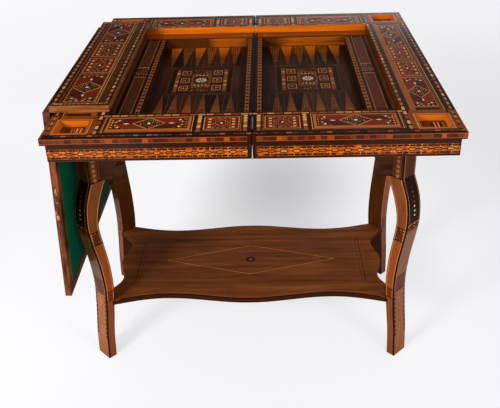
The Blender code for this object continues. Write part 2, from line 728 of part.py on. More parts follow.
def build():
    """Make every piece and stand the bodies in their places."""
    clear_scene()
    seam_x = outline_shift()
    axis_x, axis_z = board_axis()
    seam_place = (seam_x, 0, TABLE_HEIGHT)
    board_place = (seam_x + axis_x, BOARD_SHIFT, TABLE_HEIGHT + axis_z)
    bed_plates, leaf_plates = seam_hinges()
    narrow_plates, wide_plates = board_hinges()
    carry(anchor("base_middle", (seam_x + BASE_SHIFT, 0, 0)), base_parts())
    carry(anchor("bed_seam", seam_place), case_half("bed", -1, pivot_place()) + bed_plates)
    carry(anchor("leaf_seam", seam_place), case_half("leaf", 1) + leaf_plates)
    narrow_leaf = board_leaf("board_narrow_leaf", 1, NARROW_LEAF)
    wide_leaf = board_leaf("board_wide_leaf", -1, WIDE_LEAF)
    carry(anchor("board_edge", board_place), narrow_leaf + narrow_plates)
    carry(anchor("board_fold_axis", board_place, hanging_lean() - math.pi / 2), wide_leaf + wide_plates)


build()
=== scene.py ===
"""Finish of the tric trac table: marquetry, veneer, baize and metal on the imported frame, and a studio."""

import math

import bmesh
import bpy
import numpy as np
from bpy.props import FloatProperty, FloatVectorProperty, PointerProperty
from mathutils import Matrix, Vector


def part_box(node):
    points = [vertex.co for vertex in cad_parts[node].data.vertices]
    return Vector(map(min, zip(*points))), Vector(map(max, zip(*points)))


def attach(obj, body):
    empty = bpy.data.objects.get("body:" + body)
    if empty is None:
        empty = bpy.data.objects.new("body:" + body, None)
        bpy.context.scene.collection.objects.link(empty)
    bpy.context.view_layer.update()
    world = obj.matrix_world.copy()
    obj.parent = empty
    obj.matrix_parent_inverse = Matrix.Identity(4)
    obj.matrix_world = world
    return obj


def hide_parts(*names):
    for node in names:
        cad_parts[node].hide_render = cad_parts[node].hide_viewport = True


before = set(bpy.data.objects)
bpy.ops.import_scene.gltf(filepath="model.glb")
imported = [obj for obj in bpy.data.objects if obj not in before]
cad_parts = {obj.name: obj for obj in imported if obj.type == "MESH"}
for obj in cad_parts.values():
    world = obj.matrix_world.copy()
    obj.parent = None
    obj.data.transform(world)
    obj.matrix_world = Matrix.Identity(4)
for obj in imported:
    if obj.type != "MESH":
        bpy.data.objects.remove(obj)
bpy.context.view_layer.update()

bl_info = {
    "name": "Tric Trac Table Finish",
    "version": (1, 0, 0),
    "blender": (4, 5, 0),
    "location": "3D View > Sidebar > Table",
    "description": "Marquetry, veneer, baize, metal and studio for a folding tric trac table",
    "category": "Material",
}

# Places read from the frame, in metres
SEAM_X = (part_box("bed_front_rail")[1][0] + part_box("leaf_front_rail")[0][0]) / 2
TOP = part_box("leaf_side_rail")[1][2]
CASE_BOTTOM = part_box("leaf_side_rail")[0][2]
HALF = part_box("leaf_side_rail")[1][0] - SEAM_X
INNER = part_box("leaf_side_rail")[0][0] - SEAM_X
LEDGE_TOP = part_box("leaf_side_panel")[1][2]
TRAY_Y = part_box("leaf_back_ledge")[0][1]
BASE_X = (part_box("shelf")[0][0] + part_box("shelf")[1][0]) / 2
SHELF_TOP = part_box("shelf")[1][2]
POST_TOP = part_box("leg_front_right")[1][2]
DIAGONAL = math.sqrt(0.5)

# Depth that still counts as a face, and half the width of a thin line
SKIN = 0.0005
LINE = 0.0006

# Age of the wood: scale and depth of its clouds, scale and depth of its wear, polish of its varnish
CLOUD_SCALE, CLOUD_DEPTH = 11.0, 0.45
WEAR_SCALE, WEAR_DEPTH = 60.0, 0.22
VARNISH_ROUGHNESS, WOOD_GLOSS = 0.08, 0.03

# Woods between two others: first, second and the second's share
BLENDS = {
    "dusk": ("ebony", "umber", 0.5),
    "knee": ("ebony", "umber", 0.3),
    "tray_edge": ("ebony", "umber", 0.6),
    "brown": ("umber", "walnut", 0.5),
    "tan": ("walnut", "honey", 0.6),
    "russet": ("rust", "walnut", 0.5),
    "ledge_top": ("walnut", "rust", 0.6),
    # side walls of the trays: walnut and wine, darker as painted shade
    "side_wall": ("walnut", "wine", 0.45),
    "well_wall": ("orange", "rust", 0.4),
    "well_lip": ("rust", "honey", 0.6),
    "chain_ground": ("amber", "orange", 0.35),
    "fleck": ("light", "orange", 0.5),
    "front_tip": ("rust", "orange", 0.45),
    "cream": ("pearl", "light", 0.4),
    "ivory": ("pearl", "light", 0.3),
    "straw": ("honey", "light", 0.4),
    "stringing": ("honey", "light", 0.5),
    "leaf_edge": ("honey", "light", 0.35),
    "leg_middle": ("veneer", "rust", 0.5),
    "leg_foot": ("veneer", "walnut", 0.25),
    "leg_oval": ("veneer", "light", 0.22),
    # grey panel of the legs' outward faces: walnut with a painted sheen of mauve
    "leg_grey": ("walnut", "mauve", 0.42),
    "leg_pale": ("veneer", "light", 0.12),
    "leg_red": ("red", "walnut", 0.5),
    "toe_red": ("red", "walnut", 0.55),
    "shelf_patch": ("shelf", "honey", 0.3),
}

# Woods drawn by chance along a row: each starts at its number
BRIGHT_BEADS = ((0.0, "light"), (0.4, "rust"), (0.55, "light"), (0.76, "mauve"), (0.9, "honey"))
DULL_BEADS = ((0.0, "walnut"), (0.34, "umber"), (0.5, "honey"), (0.66, "rust"), (0.82, "walnut"))
SIDE_BEADS = ((0.0, "mauve"), (0.35, "honey"), (0.52, "light"), (0.66, "mauve"), (0.86, "rust"))
TRAY_BEADS = ((0.0, "honey"), (0.4, "light"), (0.7, "amber"))
TRAY_WOODS = ((0.0, "ebony"), (0.4, "umber"), (0.75, "olive"))
MOSAIC_WOODS = ((0.0, "honey"), (0.35, "walnut"), (0.6, "light"), (0.85, "red"))
WELL_WOODS = ((0.0, "olive"), (0.3, "red"), (0.5, "light"), (0.68, "umber"), (0.84, "honey"))
RIM_WOODS = ((0.0, "walnut"), (0.2, "wine"), (0.34, "rust"), (0.46, "olive"), (0.6, "red"),
             (0.74, "umber"), (0.88, "amber"))
CHAIN_WOODS = ((0.0, "amber"), (0.24, "rust"), (0.46, "orange"), (0.6, "wine"), (0.76, "amber"),
               (0.94, "light"))
DASH_WOODS = ((0.0, "ebony"), (0.56, "wine"), (0.8, "umber"))
HEART_WOODS = ((0.0, "orange"), (0.35, "rust"), (0.55, "honey"), (0.85, "light"))


def linear(red, green, blue):
    """Linear colour of an sRGB colour written from 0 to 255."""
    shares = (channel / 255 for channel in (red, green, blue))
    return tuple(s / 12.92 if s <= 0.04045 else ((s + 0.055) / 1.055) ** 2.4 for s in shares)


def tone(name, description, *rgb):
    """Colour property whose default is written as sRGB."""
    return FloatVectorProperty(name=name, description=description, subtype="COLOR", size=3, min=0,
                               max=1, default=linear(*rgb))


def amount(name, description, value, **kind):
    """Number property; kind is its unit or subtype."""
    return FloatProperty(name=name, description=description, default=value, **kind)


def measure(name, description, metres):
    """Length property in metres."""
    return amount(name, description, metres, unit="LENGTH", precision=4)


class TableWoods(bpy.types.PropertyGroup):
    """Woods, pearl, cloth and metal of the table."""

    ebony: tone("Ebony", "Lines and dark grounds", 30, 12, 4)
    olive: tone("Dark olive", "Broad dark strips beside the panels", 36, 24, 10)
    umber: tone("Umber", "Dark brown wood", 56, 26, 8)
    walnut: tone("Walnut", "Middle brown wood", 102, 52, 16)
    red: tone("Red wood", "Red-brown panels", 122, 32, 8)
    wine: tone("Wine wood", "Darker red-brown", 80, 22, 6)
    rust: tone("Rust wood", "Red-orange blocks on the rim", 150, 66, 16)
    amber: tone("Amber wood", "Ground of the chain band", 176, 82, 12)
    orange: tone("Orange wood", "Bright walls and grounds", 234, 118, 16)
    honey: tone("Honey wood", "Frames and strips", 174, 92, 36)
    light: tone("Light wood", "Stringing and beads", 224, 152, 82)
    pearl: tone("Pearl", "Mother of pearl pieces", 232, 216, 190)
    baize: tone("Baize", "Green wool cloth", 4, 84, 58)
    steel: tone("Steel", "Hinges and pivot", 150, 156, 164)
    shelf: tone("Shelf wood", "Polished red-brown veneer of the shelf", 146, 80, 38)
    veneer: tone("Leg veneer", "Orange-brown panels of the legs", 146, 76, 38)
    # Mauve also tints the legs' grey panels as a painted sheen over walnut
    mauve: tone("Mauve wood and painted sheen", "Greyish panels on the outward leg faces", 176, 112, 68)


class TableInlay(bpy.types.PropertyGroup):
    """Places and sizes of the inlay, out from the seam or from the middle line."""

    edge_bead: measure("Outer bead line", "Middle of the bead line round the top", 0.4302)
    inner_bead: measure("Inner bead line", "Middle of the bead line beside the trays", 0.3283)
    bead_half: measure("Bead half width", "Half the width of a bead line", 0.0040)
    bead_pitch: measure("Bead pitch", "Length of one bead", 0.0125)
    chain_pitch: measure("Chain pitch", "Length of one link of the chain on the case's edge", 0.0265)
    block_length: measure("Block length", "Mean length of the blocks on the rim", 0.016)
    point_pitch: measure("Point pitch", "Spacing of the points in a tray", 0.0341)
    point_start: measure("First point", "Start of the first point from the seam", 0.0388)
    point_tip: measure("Point tip", "Distance of the points' tips from the middle line", 0.100)
    chess_square: measure("Chess square", "Side of one square on the cover board", 0.034)


class TableStage(bpy.types.PropertyGroup):
    """Camera, sky, lamps and floor."""

    eye: FloatVectorProperty(name="Camera place", description="Where the camera stands", size=3,
                             subtype="TRANSLATION", default=(0.060335, -1.80124, 1.416452))
    lens: amount("Lens", "Focal length in millimetres", 52.68)
    yaw: amount("Yaw", "Turn to the right", -0.030756, subtype="ANGLE")
    pitch: amount("Pitch", "Tilt down", 0.524743, subtype="ANGLE")
    roll: amount("Roll", "Turn about the line of sight", -0.029874, subtype="ANGLE")
    sky: amount("Sky", "Strength of the even white light", 0.52)
    sky_dark: amount("Mirrored sky", "What polished pieces see of the sky", 0.02)
    sky_seen: amount("Seen sky", "What the camera sees of the sky", 0.92)
    window: amount("Window", "Strength of the window that polished pieces see", 1.7)
    key: amount("Key lamp", "Power of the large lamp", 58.0, unit="POWER")
    floor: tone("Floor", "Floor and backdrop", 236, 236, 240)


def operator(operation):
    """Method that adds a Math node of a number and another one."""
    return lambda self, other: self.math(operation, self, other)


def reflected(operation):
    """The same with the other number first."""
    return lambda self, other: self.math(operation, other, self)


class Val:
    """A number socket; arithmetic and comparisons on it add Math nodes and give a new one."""

    __add__, __radd__ = operator("ADD"), reflected("ADD")
    __sub__, __rsub__ = operator("SUBTRACT"), reflected("SUBTRACT")
    __mul__, __rmul__ = operator("MULTIPLY"), reflected("MULTIPLY")
    __truediv__, __rtruediv__ = operator("DIVIDE"), reflected("DIVIDE")
    __lt__, __gt__ = operator("LESS_THAN"), operator("GREATER_THAN")
    __and__, __or__ = operator("MULTIPLY"), operator("MAXIMUM")
    least, most = operator("MINIMUM"), operator("MAXIMUM")

    def __init__(self, tree, socket):
        self.tree = tree
        self.socket = socket

    def math(self, operation, *values):
        node = self.tree.nodes.new("ShaderNodeMath")
        node.operation = operation
        for slot, value in zip(node.inputs, values):
            plug(self.tree, slot, value)
        return Val(self.tree, node.outputs[0])

    def __abs__(self):
        return self.math("ABSOLUTE", self)

    def __invert__(self):
        return self.math("SUBTRACT", 1.0, self)

    def floor(self):
        return self.math("FLOOR", self)

    def fract(self):
        return self.math("FRACT", self)

    def near(self, centre, half=LINE):
        """1 within half of centre, 0 elsewhere."""
        return self.math("COMPARE", self, centre, half)

    def within(self, low, high):
        return self.near((low + high) / 2, (high - low) / 2)

    def share(self, middle, half):
        """-1 to 1 over a span."""
        return (self - middle) / half

    def index(self, pitch):
        """Number of the step that it falls in."""
        return (self / pitch).floor()

    def mid(self, pitch):
        """Distance from the middle of its step: 0 there and 0.5 at the step's ends."""
        return abs((self / pitch).fract() - 0.5)


def plug(tree, slot, value):
    """Link a socket, or write a number, vector or colour on it."""
    if isinstance(value, Val):
        value = value.socket
    if isinstance(value, bpy.types.NodeSocket):
        tree.links.new(value, slot)
    elif slot.type == "RGBA" and len(value) == 3:
        slot.default_value = (*value, 1.0)
    else:
        slot.default_value = value


class Nodes:
    """A node tree, with one method that adds any node."""

    def __init__(self, tree):
        self.tree = tree

    def node(self, kind, settings=None, sockets=None):
        """Add a node: its settings first, then the values or links of its sockets."""
        node = self.tree.nodes.new(kind)
        for key, value in (settings or {}).items():
            if key == "stops":
                self.set_stops(node.color_ramp, value)
            elif key == "points":
                self.set_points(node.mapping, value)
            else:
                setattr(node, key, value)
        for key, value in (sockets or {}).items():
            plug(self.tree, node.inputs[key], value)
        return node

    def axes(self, vector):
        """X, Y and Z of a vector socket."""
        split = self.node("ShaderNodeSeparateXYZ", sockets={"Vector": vector})
        return [Val(self.tree, socket) for socket in split.outputs]

    def set_stops(self, ramp, stops):
        ramp.interpolation = "CONSTANT"
        while len(ramp.elements) < len(stops):
            ramp.elements.new(1.0)
        for element, (place, name) in zip(ramp.elements, stops):
            element.position = place
            element.color = (*self.wood(name), 1.0)

    @staticmethod
    def set_points(mapping, points):
        curve = mapping.curves[0]
        while len(curve.points) < len(points):
            curve.points.new(0.5, 0.5)
        for point, place in zip(curve.points, points):
            point.location = place
            point.handle_type = "VECTOR"
        mapping.update()

    @staticmethod
    def wood(name):
        """Colour of a named wood or blend, or the socket or colour itself."""
        if not isinstance(name, str):
            return name
        woods = bpy.context.scene.table_woods
        first, second, share = BLENDS.get(name, (name, name, 0.0))
        return tuple(a + (b - a) * share for a, b in zip(getattr(woods, first), getattr(woods, second)))

    def mix(self, share, first, second):
        """Colour socket between two colours."""
        node = self.node("ShaderNodeMix", {"data_type": "RGBA"},
                         {0: share, 6: self.wood(first), 7: self.wood(second)})
        return node.outputs[2]

    def either(self, mask, first, second):
        """Number: first where the mask is 0, second where it is 1."""
        return first + mask * (second - first)

    def vector(self, x, y, z):
        return self.node("ShaderNodeCombineXYZ", sockets={0: x, 1: y, 2: z}).outputs[0]

    def scaled(self, vector, factors):
        return self.node("ShaderNodeVectorMath", {"operation": "MULTIPLY"},
                         {0: vector, 1: factors}).outputs[0]

    def shaded(self, colour, level):
        return self.node("ShaderNodeVectorMath", {"operation": "SCALE"},
                         {0: self.wood(colour), "Scale": level}).outputs[0]

    def rays(self):
        """1 on what the camera sees itself, and 1 on what is seen mirrored."""
        path = self.node("ShaderNodeLightPath")
        return [Val(self.tree, path.outputs[f"Is {ray} Ray"]) for ray in ("Camera", "Glossy")]

    def chance(self, index, row=0.0):
        """Random number from 0 to 1 for each whole index."""
        node = self.node("ShaderNodeTexWhiteNoise", {"noise_dimensions": "2D"},
                         {"Vector": self.vector(index, row, 0.0)})
        return Val(self.tree, node.outputs["Value"])

    def pick(self, share, stops):
        """Wood by share: (start, wood) rows on a stepped ramp."""
        return self.node("ShaderNodeValToRGB", {"stops": stops}, {"Fac": share}).outputs["Color"]

    def noise(self, vector, scale=1.0, detail=3.0, rough=0.55):
        node = self.node("ShaderNodeTexNoise", {"noise_dimensions": "3D"},
                         {"Vector": vector, "Scale": scale, "Detail": detail, "Roughness": rough})
        return Val(self.tree, node.outputs["Fac"])

    def curve(self, value, points):
        """Number read off a curve of straight steps, both axes from 0 to 1."""
        node = self.node("ShaderNodeFloatCurve", {"points": points}, {"Value": value})
        return Val(self.tree, node.outputs["Value"])


class Finish(Nodes):
    """One material. Inlay is laid on layer by layer, each by a mask from 0 to 1."""

    def __init__(self, name):
        self.material = bpy.data.materials.new(name)
        self.material.use_nodes = True
        super().__init__(self.material.node_tree)
        self.inlay = bpy.context.scene.table_inlay
        self.shader = self.tree.nodes["Principled BSDF"]
        self.place = self.node("ShaderNodeTexCoord").outputs["Object"]
        self.x, self.y, self.z = self.axes(self.place)
        self.colour = None

    def from_seam(self):
        """Distances from the seam and from the middle line."""
        return abs(self.x - SEAM_X), abs(self.y)

    def lay(self, colour, mask=None):
        """Lay a colour over what is there, where the mask is 1."""
        if mask is None:
            self.colour = self.wood(colour)
        else:
            self.colour = self.mix(mask, self.colour, colour)

    def over(self, region):
        """A lay that stays inside a region."""
        return lambda colour, mask=None: self.lay(colour, region if mask is None else region & mask)

    def strips(self, region, place, rows):
        """Lay strips along one measure: (wood, start, end) rows."""
        for wood, start, end in rows:
            self.lay(wood, region & place.within(start, end))

    def lines(self, wood, region, place, middles, half=LINE):
        """Lay lines of one wood along one measure."""
        for middle in middles:
            self.lay(wood, region & place.near(middle, half))

    def grain(self, stretch):
        """Streaks along the axis whose factor is smallest."""
        return self.noise(self.scaled(self.place, stretch), detail=4.0, rough=0.6)

    def streaked(self, stretch, first, second, contrast=1.0, shift=0.0):
        """Colour that goes between two woods with the grain."""
        return self.mix(self.grain(stretch) * contrast + shift, first, second)

    def relief(self, strength, distance, height):
        return self.node("ShaderNodeBump", sockets={"Strength": strength, "Distance": distance,
                                                    "Height": height}).outputs[0]

    def connect(self, sockets):
        """Set or link the shader's sockets and give the material."""
        for key, value in sockets.items():
            plug(self.tree, self.shader.inputs[key], value)
        return self.material

    def done(self, stretch=(8, 90, 90), contrast=0.5, gain=1.0, rough=0.42, coat=0.32, bump=0.12):
        """Add grain, uneven polish and age, and link the shader."""
        streak = self.grain(stretch)
        cloud = self.noise(self.place, scale=CLOUD_SCALE, detail=2.0)
        level = gain + (streak - 0.5) * contrast + (cloud - 0.5) * CLOUD_DEPTH
        wear = self.noise(self.place, scale=WEAR_SCALE)
        return self.connect({
            "Base Color": self.shaded(self.colour, level),
            "Roughness": rough + (wear - 0.5) * WEAR_DEPTH,
            "Normal": self.relief(bump, 0.0006, streak + wear * 0.5),
            "Coat Weight": coat, "Coat Roughness": VARNISH_ROUGHNESS, "Specular IOR Level": WOOD_GLOSS})


# Patterns shared by several faces


def beads(p, along, across, pitch, stops, row, length=0.94):
    """Row of blocks in mixed woods on a dark ground, a little shorter at the row's sides.

    across goes from 0 on the row's middle line to 1 at its sides; row numbers the draw of the woods,
    and length is a block's share of the pitch.
    """
    piece = p.pick(p.chance(along.index(pitch), row), stops)
    return p.mix(along.mid(pitch) * 2.0 + across * 0.2 > length, piece, "ebony")


def bead_row(p, region, along, across, pitch, stops, row, length=0.94):
    """Lay a row of beads; pitch is a multiple of the bead pitch."""
    row_of_beads = beads(p, along, across, p.inlay.bead_pitch * pitch, stops, row, length)
    p.lay(row_of_beads, region & (across < 1.0))


def studs(p, region, across):
    """Lay a tan strip set with a row of small dark lozenges; across goes from -1 to 1 over it."""
    heart = p.y.mid(p.inlay.bead_pitch * 1.7) * 2.6 + abs(across) * 0.8
    p.lay(p.mix(heart < 0.8, "tan", "ebony"), region & (abs(across) < 1.0))


def mosaic(p, u, v, pitch):
    """Chequer of small lozenges in mixed woods on a dark olive ground."""
    piece = p.pick(p.chance(u.index(pitch), v.index(pitch)), MOSAIC_WOODS)
    return p.mix(u.mid(pitch) + v.mid(pitch) < 0.36, "olive", piece)


def lozenge(u, v, middle, half):
    """Mask of a lozenge by its middle and its half sizes along u and v."""
    return abs(u - middle[0]) / half[0] + abs(v - middle[1]) / half[1] < 1.0


def crossed_squares(u, v):
    """Distance from the middle of an eight-pointed star, from u and v that aren't negative."""
    return u.most(v).least((u + v) * DIAGONAL)


def lozenge_panel(p, u, v, region, size):
    """Long panel: lozenge of mosaic in the middle, two-tone red arms, pearls, mosaic ends.

    u runs along and v across, both from -1 to 1, and every number but the pitches of the mosaic is a
    share of them; size is the panel's half length and half width.
    """
    run, rise = abs(u), abs(v)
    rim, arm, heart = run.most(rise), run + rise * 0.34, run / 0.40 + rise
    lay = p.over(region & (rim < 1.0))
    ground, middle = (mosaic(p, u * size[0], v * size[1], pitch) for pitch in (0.0052, 0.0050))
    lay(p.mix(0.5, ground, "umber"))
    lay("cream", lozenge(run, rise, (0.74, 0.60), (0.038, 0.14)))
    lay("light", lozenge(run, rise, (0.80, 0.28), (0.035, 0.13)))
    lay(p.mix(v.mid(0.4) < 0.25, "umber", p.mix(u > 0.0, "honey", "light")), run > 0.88)
    lay(p.mix(u * v > 0.0, "wine", "red"), arm < 0.86)
    lay("walnut", arm.near(0.86, 0.012))
    lay("pearl", lozenge(run, rise, (0.55, 0.0), (0.085, 0.085)))
    lay(middle, heart < 1.0)
    lay("light", heart.near(0.97, 0.035))
    lay("umber", heart.near(0.86, 0.05))
    lay("pearl", lozenge(run, rise, (0.0, 0.0), (0.05, 0.16)))
    lay("honey", rim > 0.94)
    lay("ebony", rim.near(0.93, 0.012))


def frame_panel(p, u, v, region, size):
    """Red panel with a light line, a column of light blocks at each side and a mosaic middle.

    u, v, the numbers and size are as in the lozenge panel.
    """
    run, rise = abs(u), abs(v)
    rim = run.most(rise)
    lay = p.over(region & (rim < 1.0))
    lay("red")
    lay("light", rim.near(0.955, 0.018))
    lay("wine", rim.near(0.86, 0.03))
    inner = (run < 0.56) & (rise < 0.84)
    column = run.near(0.66, 0.085) & (rise < 0.82)
    lay(p.mix(0.45, mosaic(p, u * size[0], v * size[1], 0.0046), "red"), inner)
    lay("umber", column)
    lay("light", column & (v.mid(1 / 2.4) < 0.27))
    lay(p.mix(u.mid(1 / 3.2) < 0.3, "wine", "honey"), inner & rise.near(0.76, 0.06))
    lay("honey", inner & (run / 0.42 + rise / 0.6).near(1.0, 0.05))
    lay("pearl", lozenge(run, rise, (0.0, 0.0), (0.08, 0.11)))


def star(p, u, v, reach, region):
    """Small flower of eight pearl petals: points of two crossed squares, split by dark lines."""
    run, rise = abs(u), abs(v)
    points = crossed_squares(run, rise)
    lay = p.over(region)
    lay("umber", points < reach * 1.25)
    lay("ivory", points.within(0.40 * reach, reach))
    lay("umber", (points < reach) & ((run - rise).near(0.0, 0.0021) | (run.least(rise) < 0.0015)))
    lay("pearl", run + rise < 0.25 * reach)


def blocks(p, along, length, row, **settings):
    """Cells of uneven length along a row, as a texture node."""
    return p.node("ShaderNodeTexVoronoi", {"voronoi_dimensions": "1D", **settings},
                  {"W": along / length + row, "Scale": 1.0}).outputs


def block_woods(p, along, length, stops, row):
    """Woods of the blocks of uneven length."""
    colour = blocks(p, along, length, row)["Color"]
    return p.pick(p.node("ShaderNodeSeparateColor", sockets={"Color": colour}).outputs[0], stops)


def block_joints(p, along, length, row):
    """Mask of the joints between the blocks."""
    return Val(p.tree, blocks(p, along, length, row, feature="DISTANCE_TO_EDGE")["Distance"]) < 0.035


# Finishes of the case

# Strips of its border, by distance from the seam or from the middle line: wood, start and end
END_STRIPS = (("ebony", 0.3337, 0.3373), ("ebony", 0.4177, 0.4213))
END_LINES = (("walnut", 0.4115, 0.4165), ("honey", 0.4126, 0.4138))
SIDE_STRIPS = (("olive", 0.332, 0.342), ("tan", 0.342, 0.3545), ("walnut", 0.407, 0.414),
               ("light", 0.4152, 0.4164))
CROSS_STRIPS = (("light", 0.1256, 0.1268), ("light", 0.3144, 0.3156), ("honey", 0.1299, 0.1311),
                ("honey", 0.0229, 0.0241), ("walnut", 0.3160, 0.3195), ("ebony", 0.1190, 0.1235),
                ("ebony", 0.1035, 0.1065), ("ebony", 0.0, 0.0080))

# Spans on its front and back runs: their ground, the panels' ground along and across, lines, strips across
END_GROUND, PANEL_RUN, PANEL_RISE = (0.3245, 0.4215), (0.1305, 0.3085), (0.3375, 0.411)
END_LINE_RUN, CROSS_RISE = (0.0205, 0.3165), (0.3345, 0.4165)

# Columns of beads across them, out from the seam, and the start of the dark strip at the edge
BEAD_COLUMNS, EDGE_STRIP = (0.0140, 0.1122), 0.4235

# Its panels: middle and half size out from the seam, then from the middle line
END_LOZENGE = ((0.2195, 0.0885), (0.371, 0.0295))
SIDE_LOZENGE = ((0.38075, 0.02625), (0.215, 0.094))
END_FRAME = ((0.0645, 0.0385), (0.375, 0.0335))
SIDE_FRAME = ((0.38075, 0.02625), (0.060, 0.056))
LOZENGE_SIZE, FRAME_SIZE = (0.0885, 0.0295), (0.034, 0.034)

# Bands and lines of its upright edge, by depth under the top, and the middle of the chain band
RIM_BAND = (0.0036, 0.0128)
RIM_LINES = (0.0032, 0.0132)
CHAIN_BAND = (0.0290, 0.0535)
CHAIN_DEPTH = 0.04125

# Reach past which a face belongs to the edge, and its clear distance from the seam
EDGE_REACH = 0.4300
SEAM_CLEAR = 0.0095

# Lengths of the chain band's small pieces
DASH, DASH_PIECE, FLECK = 0.0125, 0.0031, 0.0053

# Levels from the band's middle: its edge lines, the links' ground, dashes and flecks with half their height
CHAIN_EDGE, LINK_GROUND = (0.0112, 0.0123), 0.0058
DASH_LEVEL, FLECK_LEVEL = (0.0080, 0.0022), (0.0052, 0.0009)

# A link and its heart: half length and half height; the line between links: start and half height
LINK, LINK_HEART, LINK_LINE = (0.0100, 0.0041), (0.0070, 0.0021), (0.0090, 0.0010)

# The ledges' light line from the middle line, the middle of its length from the seam and half of it
LEDGE_LINE, LEDGE_LINE_MIDDLE, LEDGE_LINE_HALF = 0.2965, 0.146, 0.116

# Their dark strip along the tray, their dark end at the seam, and half the size of the dots
LEDGE_STRIP, LEDGE_END, LEDGE_DOT = (0.272, 0.280), 0.0075, 0.0035

# A side panel, out from the seam: studs, red strip, its rims and its red panels, dark strip at the border
SIDE_STUDS, SIDE_STRIP = (0.2626, 0.0052), (0.2745, 0.3045)
SIDE_RED, SIDE_DARK = (0.2800, 0.2995), (0.3135, 0.3225)
SIDE_RIMS = (("tan", 0.2750, 0.2778), ("tan", 0.3012, 0.3040))

# Its ends from the middle line: red panels, banded piece, mosaic; and the pitch of the bands
SIDE_RED_END, SIDE_BANDED, SIDE_MOSAIC, SIDE_BAND = 0.262, 0.046, (0.006, 0.030), 0.0145

# Depth of a well's floor, its lip's line from the middle, half sizes of its stripes and their pitch
WELL_FLOOR, WELL_LINE, WELL_STRIPED, WELL_STRIPE = 0.0125, 0.0375, (0.0225, 0.020), 0.0027

# Middle of a tray's panel from the seam, and its half sizes
TRAY_PANEL = 0.138
TRAY_PANEL_HALF = (0.0815, 0.0935)

# Start of the dark ground between the points, from the middle line, and half the strip behind them
POINT_GROUND, TRAY_STRIP_HALF = 0.104, 0.004


def case_top(p, out_x, out_y, side, top):
    """Border of the open top: bead lines, strips, lozenge panels and framed panels."""
    reach = out_x.most(out_y)
    end_run, side_run = top & (out_y > INNER), top & (out_x > INNER) & (out_y < INNER)
    p.lay("umber", end_run & reach.within(*END_GROUND))
    p.lay("russet", end_run & (out_x > INNER))
    p.strips(end_run, reach, END_STRIPS)
    p.strips(side_run, reach, SIDE_STRIPS)
    p.lay("honey", end_run & out_x.within(*PANEL_RUN) & reach.within(*PANEL_RISE))
    p.strips(end_run & out_x.within(*END_LINE_RUN), reach, END_LINES)
    u = p.either(side, out_x.share(*END_LOZENGE[0]), out_y.share(*SIDE_LOZENGE[1]))
    v = p.either(side, out_y.share(*END_LOZENGE[1]), out_x.share(*SIDE_LOZENGE[0]))
    lozenge_panel(p, u, v, top, LOZENGE_SIZE)
    u = p.either(side, out_x.share(*END_FRAME[0]), out_x.share(*SIDE_FRAME[0]))
    v = p.either(side, out_y.share(*END_FRAME[1]), out_y.share(*SIDE_FRAME[1]))
    frame_panel(p, u, v, top, FRAME_SIZE)
    cross = end_run & reach.within(*CROSS_RISE)
    p.strips(cross, out_x, CROSS_STRIPS)
    half, inner_bead, edge_bead = p.inlay.bead_half, p.inlay.inner_bead, p.inlay.edge_bead
    stack = abs(out_x - BEAD_COLUMNS[0]).least(abs(out_x - BEAD_COLUMNS[1])) / half
    bead_row(p, cross, p.y, stack, 1.1, BRIGHT_BEADS, 3.0)
    inner, edge = abs(out_y - inner_bead) / (half * 0.8), abs(out_y - edge_bead) / (half * 0.8)
    end = top & (out_x < edge_bead + half)
    p.lay("ebony", end & (out_y > EDGE_STRIP))
    inner_row = beads(p, p.x, inner, p.inlay.bead_pitch * 1.5, BRIGHT_BEADS, 5.0)
    p.lay(p.mix(0.25, inner_row, "walnut"), top & (inner < 1.0) & (out_x < INNER))
    bead_row(p, end, p.x, edge, 1.1, DULL_BEADS, 6.0)
    inner, edge = abs(out_x - inner_bead) / (half * 0.8), abs(out_x - edge_bead) / (half * 0.66)
    long = top & (out_y < edge_bead - half)
    p.lay("ebony", long & (inner < 1.2))
    p.lay("dusk", long & (edge < 1.3))
    bead_row(p, long, p.y, inner, 2.0, SIDE_BEADS, 7.0, 0.76)
    bead_row(p, long, p.y, edge, 2.0, SIDE_BEADS, 8.0, 0.76)


def case_edge(p, along, depth, face):
    """Upright edge: block band on the rim, and the chain band below it."""
    lay = p.over(face)
    length = p.inlay.block_length * 0.75
    rim = depth.within(*RIM_BAND)
    lay(p.mix(0.2, block_woods(p, along, length, RIM_WOODS, 11.0), "red"), rim)
    lay("wine", rim & block_joints(p, along, length, 11.0))
    p.lines("amber", face, depth, RIM_LINES, 0.0005)
    ground = block_woods(p, along, p.inlay.block_length * 0.4, CHAIN_WOODS, 23.0)
    level = abs(depth - CHAIN_DEPTH)
    lay(p.mix(0.4, ground, "rust"), depth.within(*CHAIN_BAND))
    lay("wine", level.within(*CHAIN_EDGE))
    lay(p.mix(0.6, ground, "chain_ground"), level < LINK_GROUND)
    row = (depth > CHAIN_DEPTH) * 9.0
    dashes = (p.chance(along.index(DASH), row) > 0.08) & (along.mid(DASH) < 0.42)
    dash_woods = p.pick(p.chance(along.index(DASH_PIECE), row), DASH_WOODS)
    lay(dash_woods, dashes & level.near(*DASH_LEVEL))
    flecks = (p.chance(along.index(FLECK), row + 4.0) > 0.74) & (along.mid(FLECK) < 0.36)
    lay("fleck", flecks & level.near(*FLECK_LEVEL))
    pitch = p.inlay.chain_pitch
    off = along.mid(pitch) * pitch
    link = off + level * 1.1
    heart = p.pick(p.chance(along.index(pitch), 2.0), HEART_WOODS)
    lay("ebony", (link < LINK[0]) & (level < LINK[1]))
    lay(p.mix(0.3, heart, "amber"), (link < LINK_HEART[0]) & (level < LINK_HEART[1]))
    lay("ebony", (off > LINK_LINE[0]) & (level < LINK_LINE[1]))
    p.lay("umber", face * 0.16)


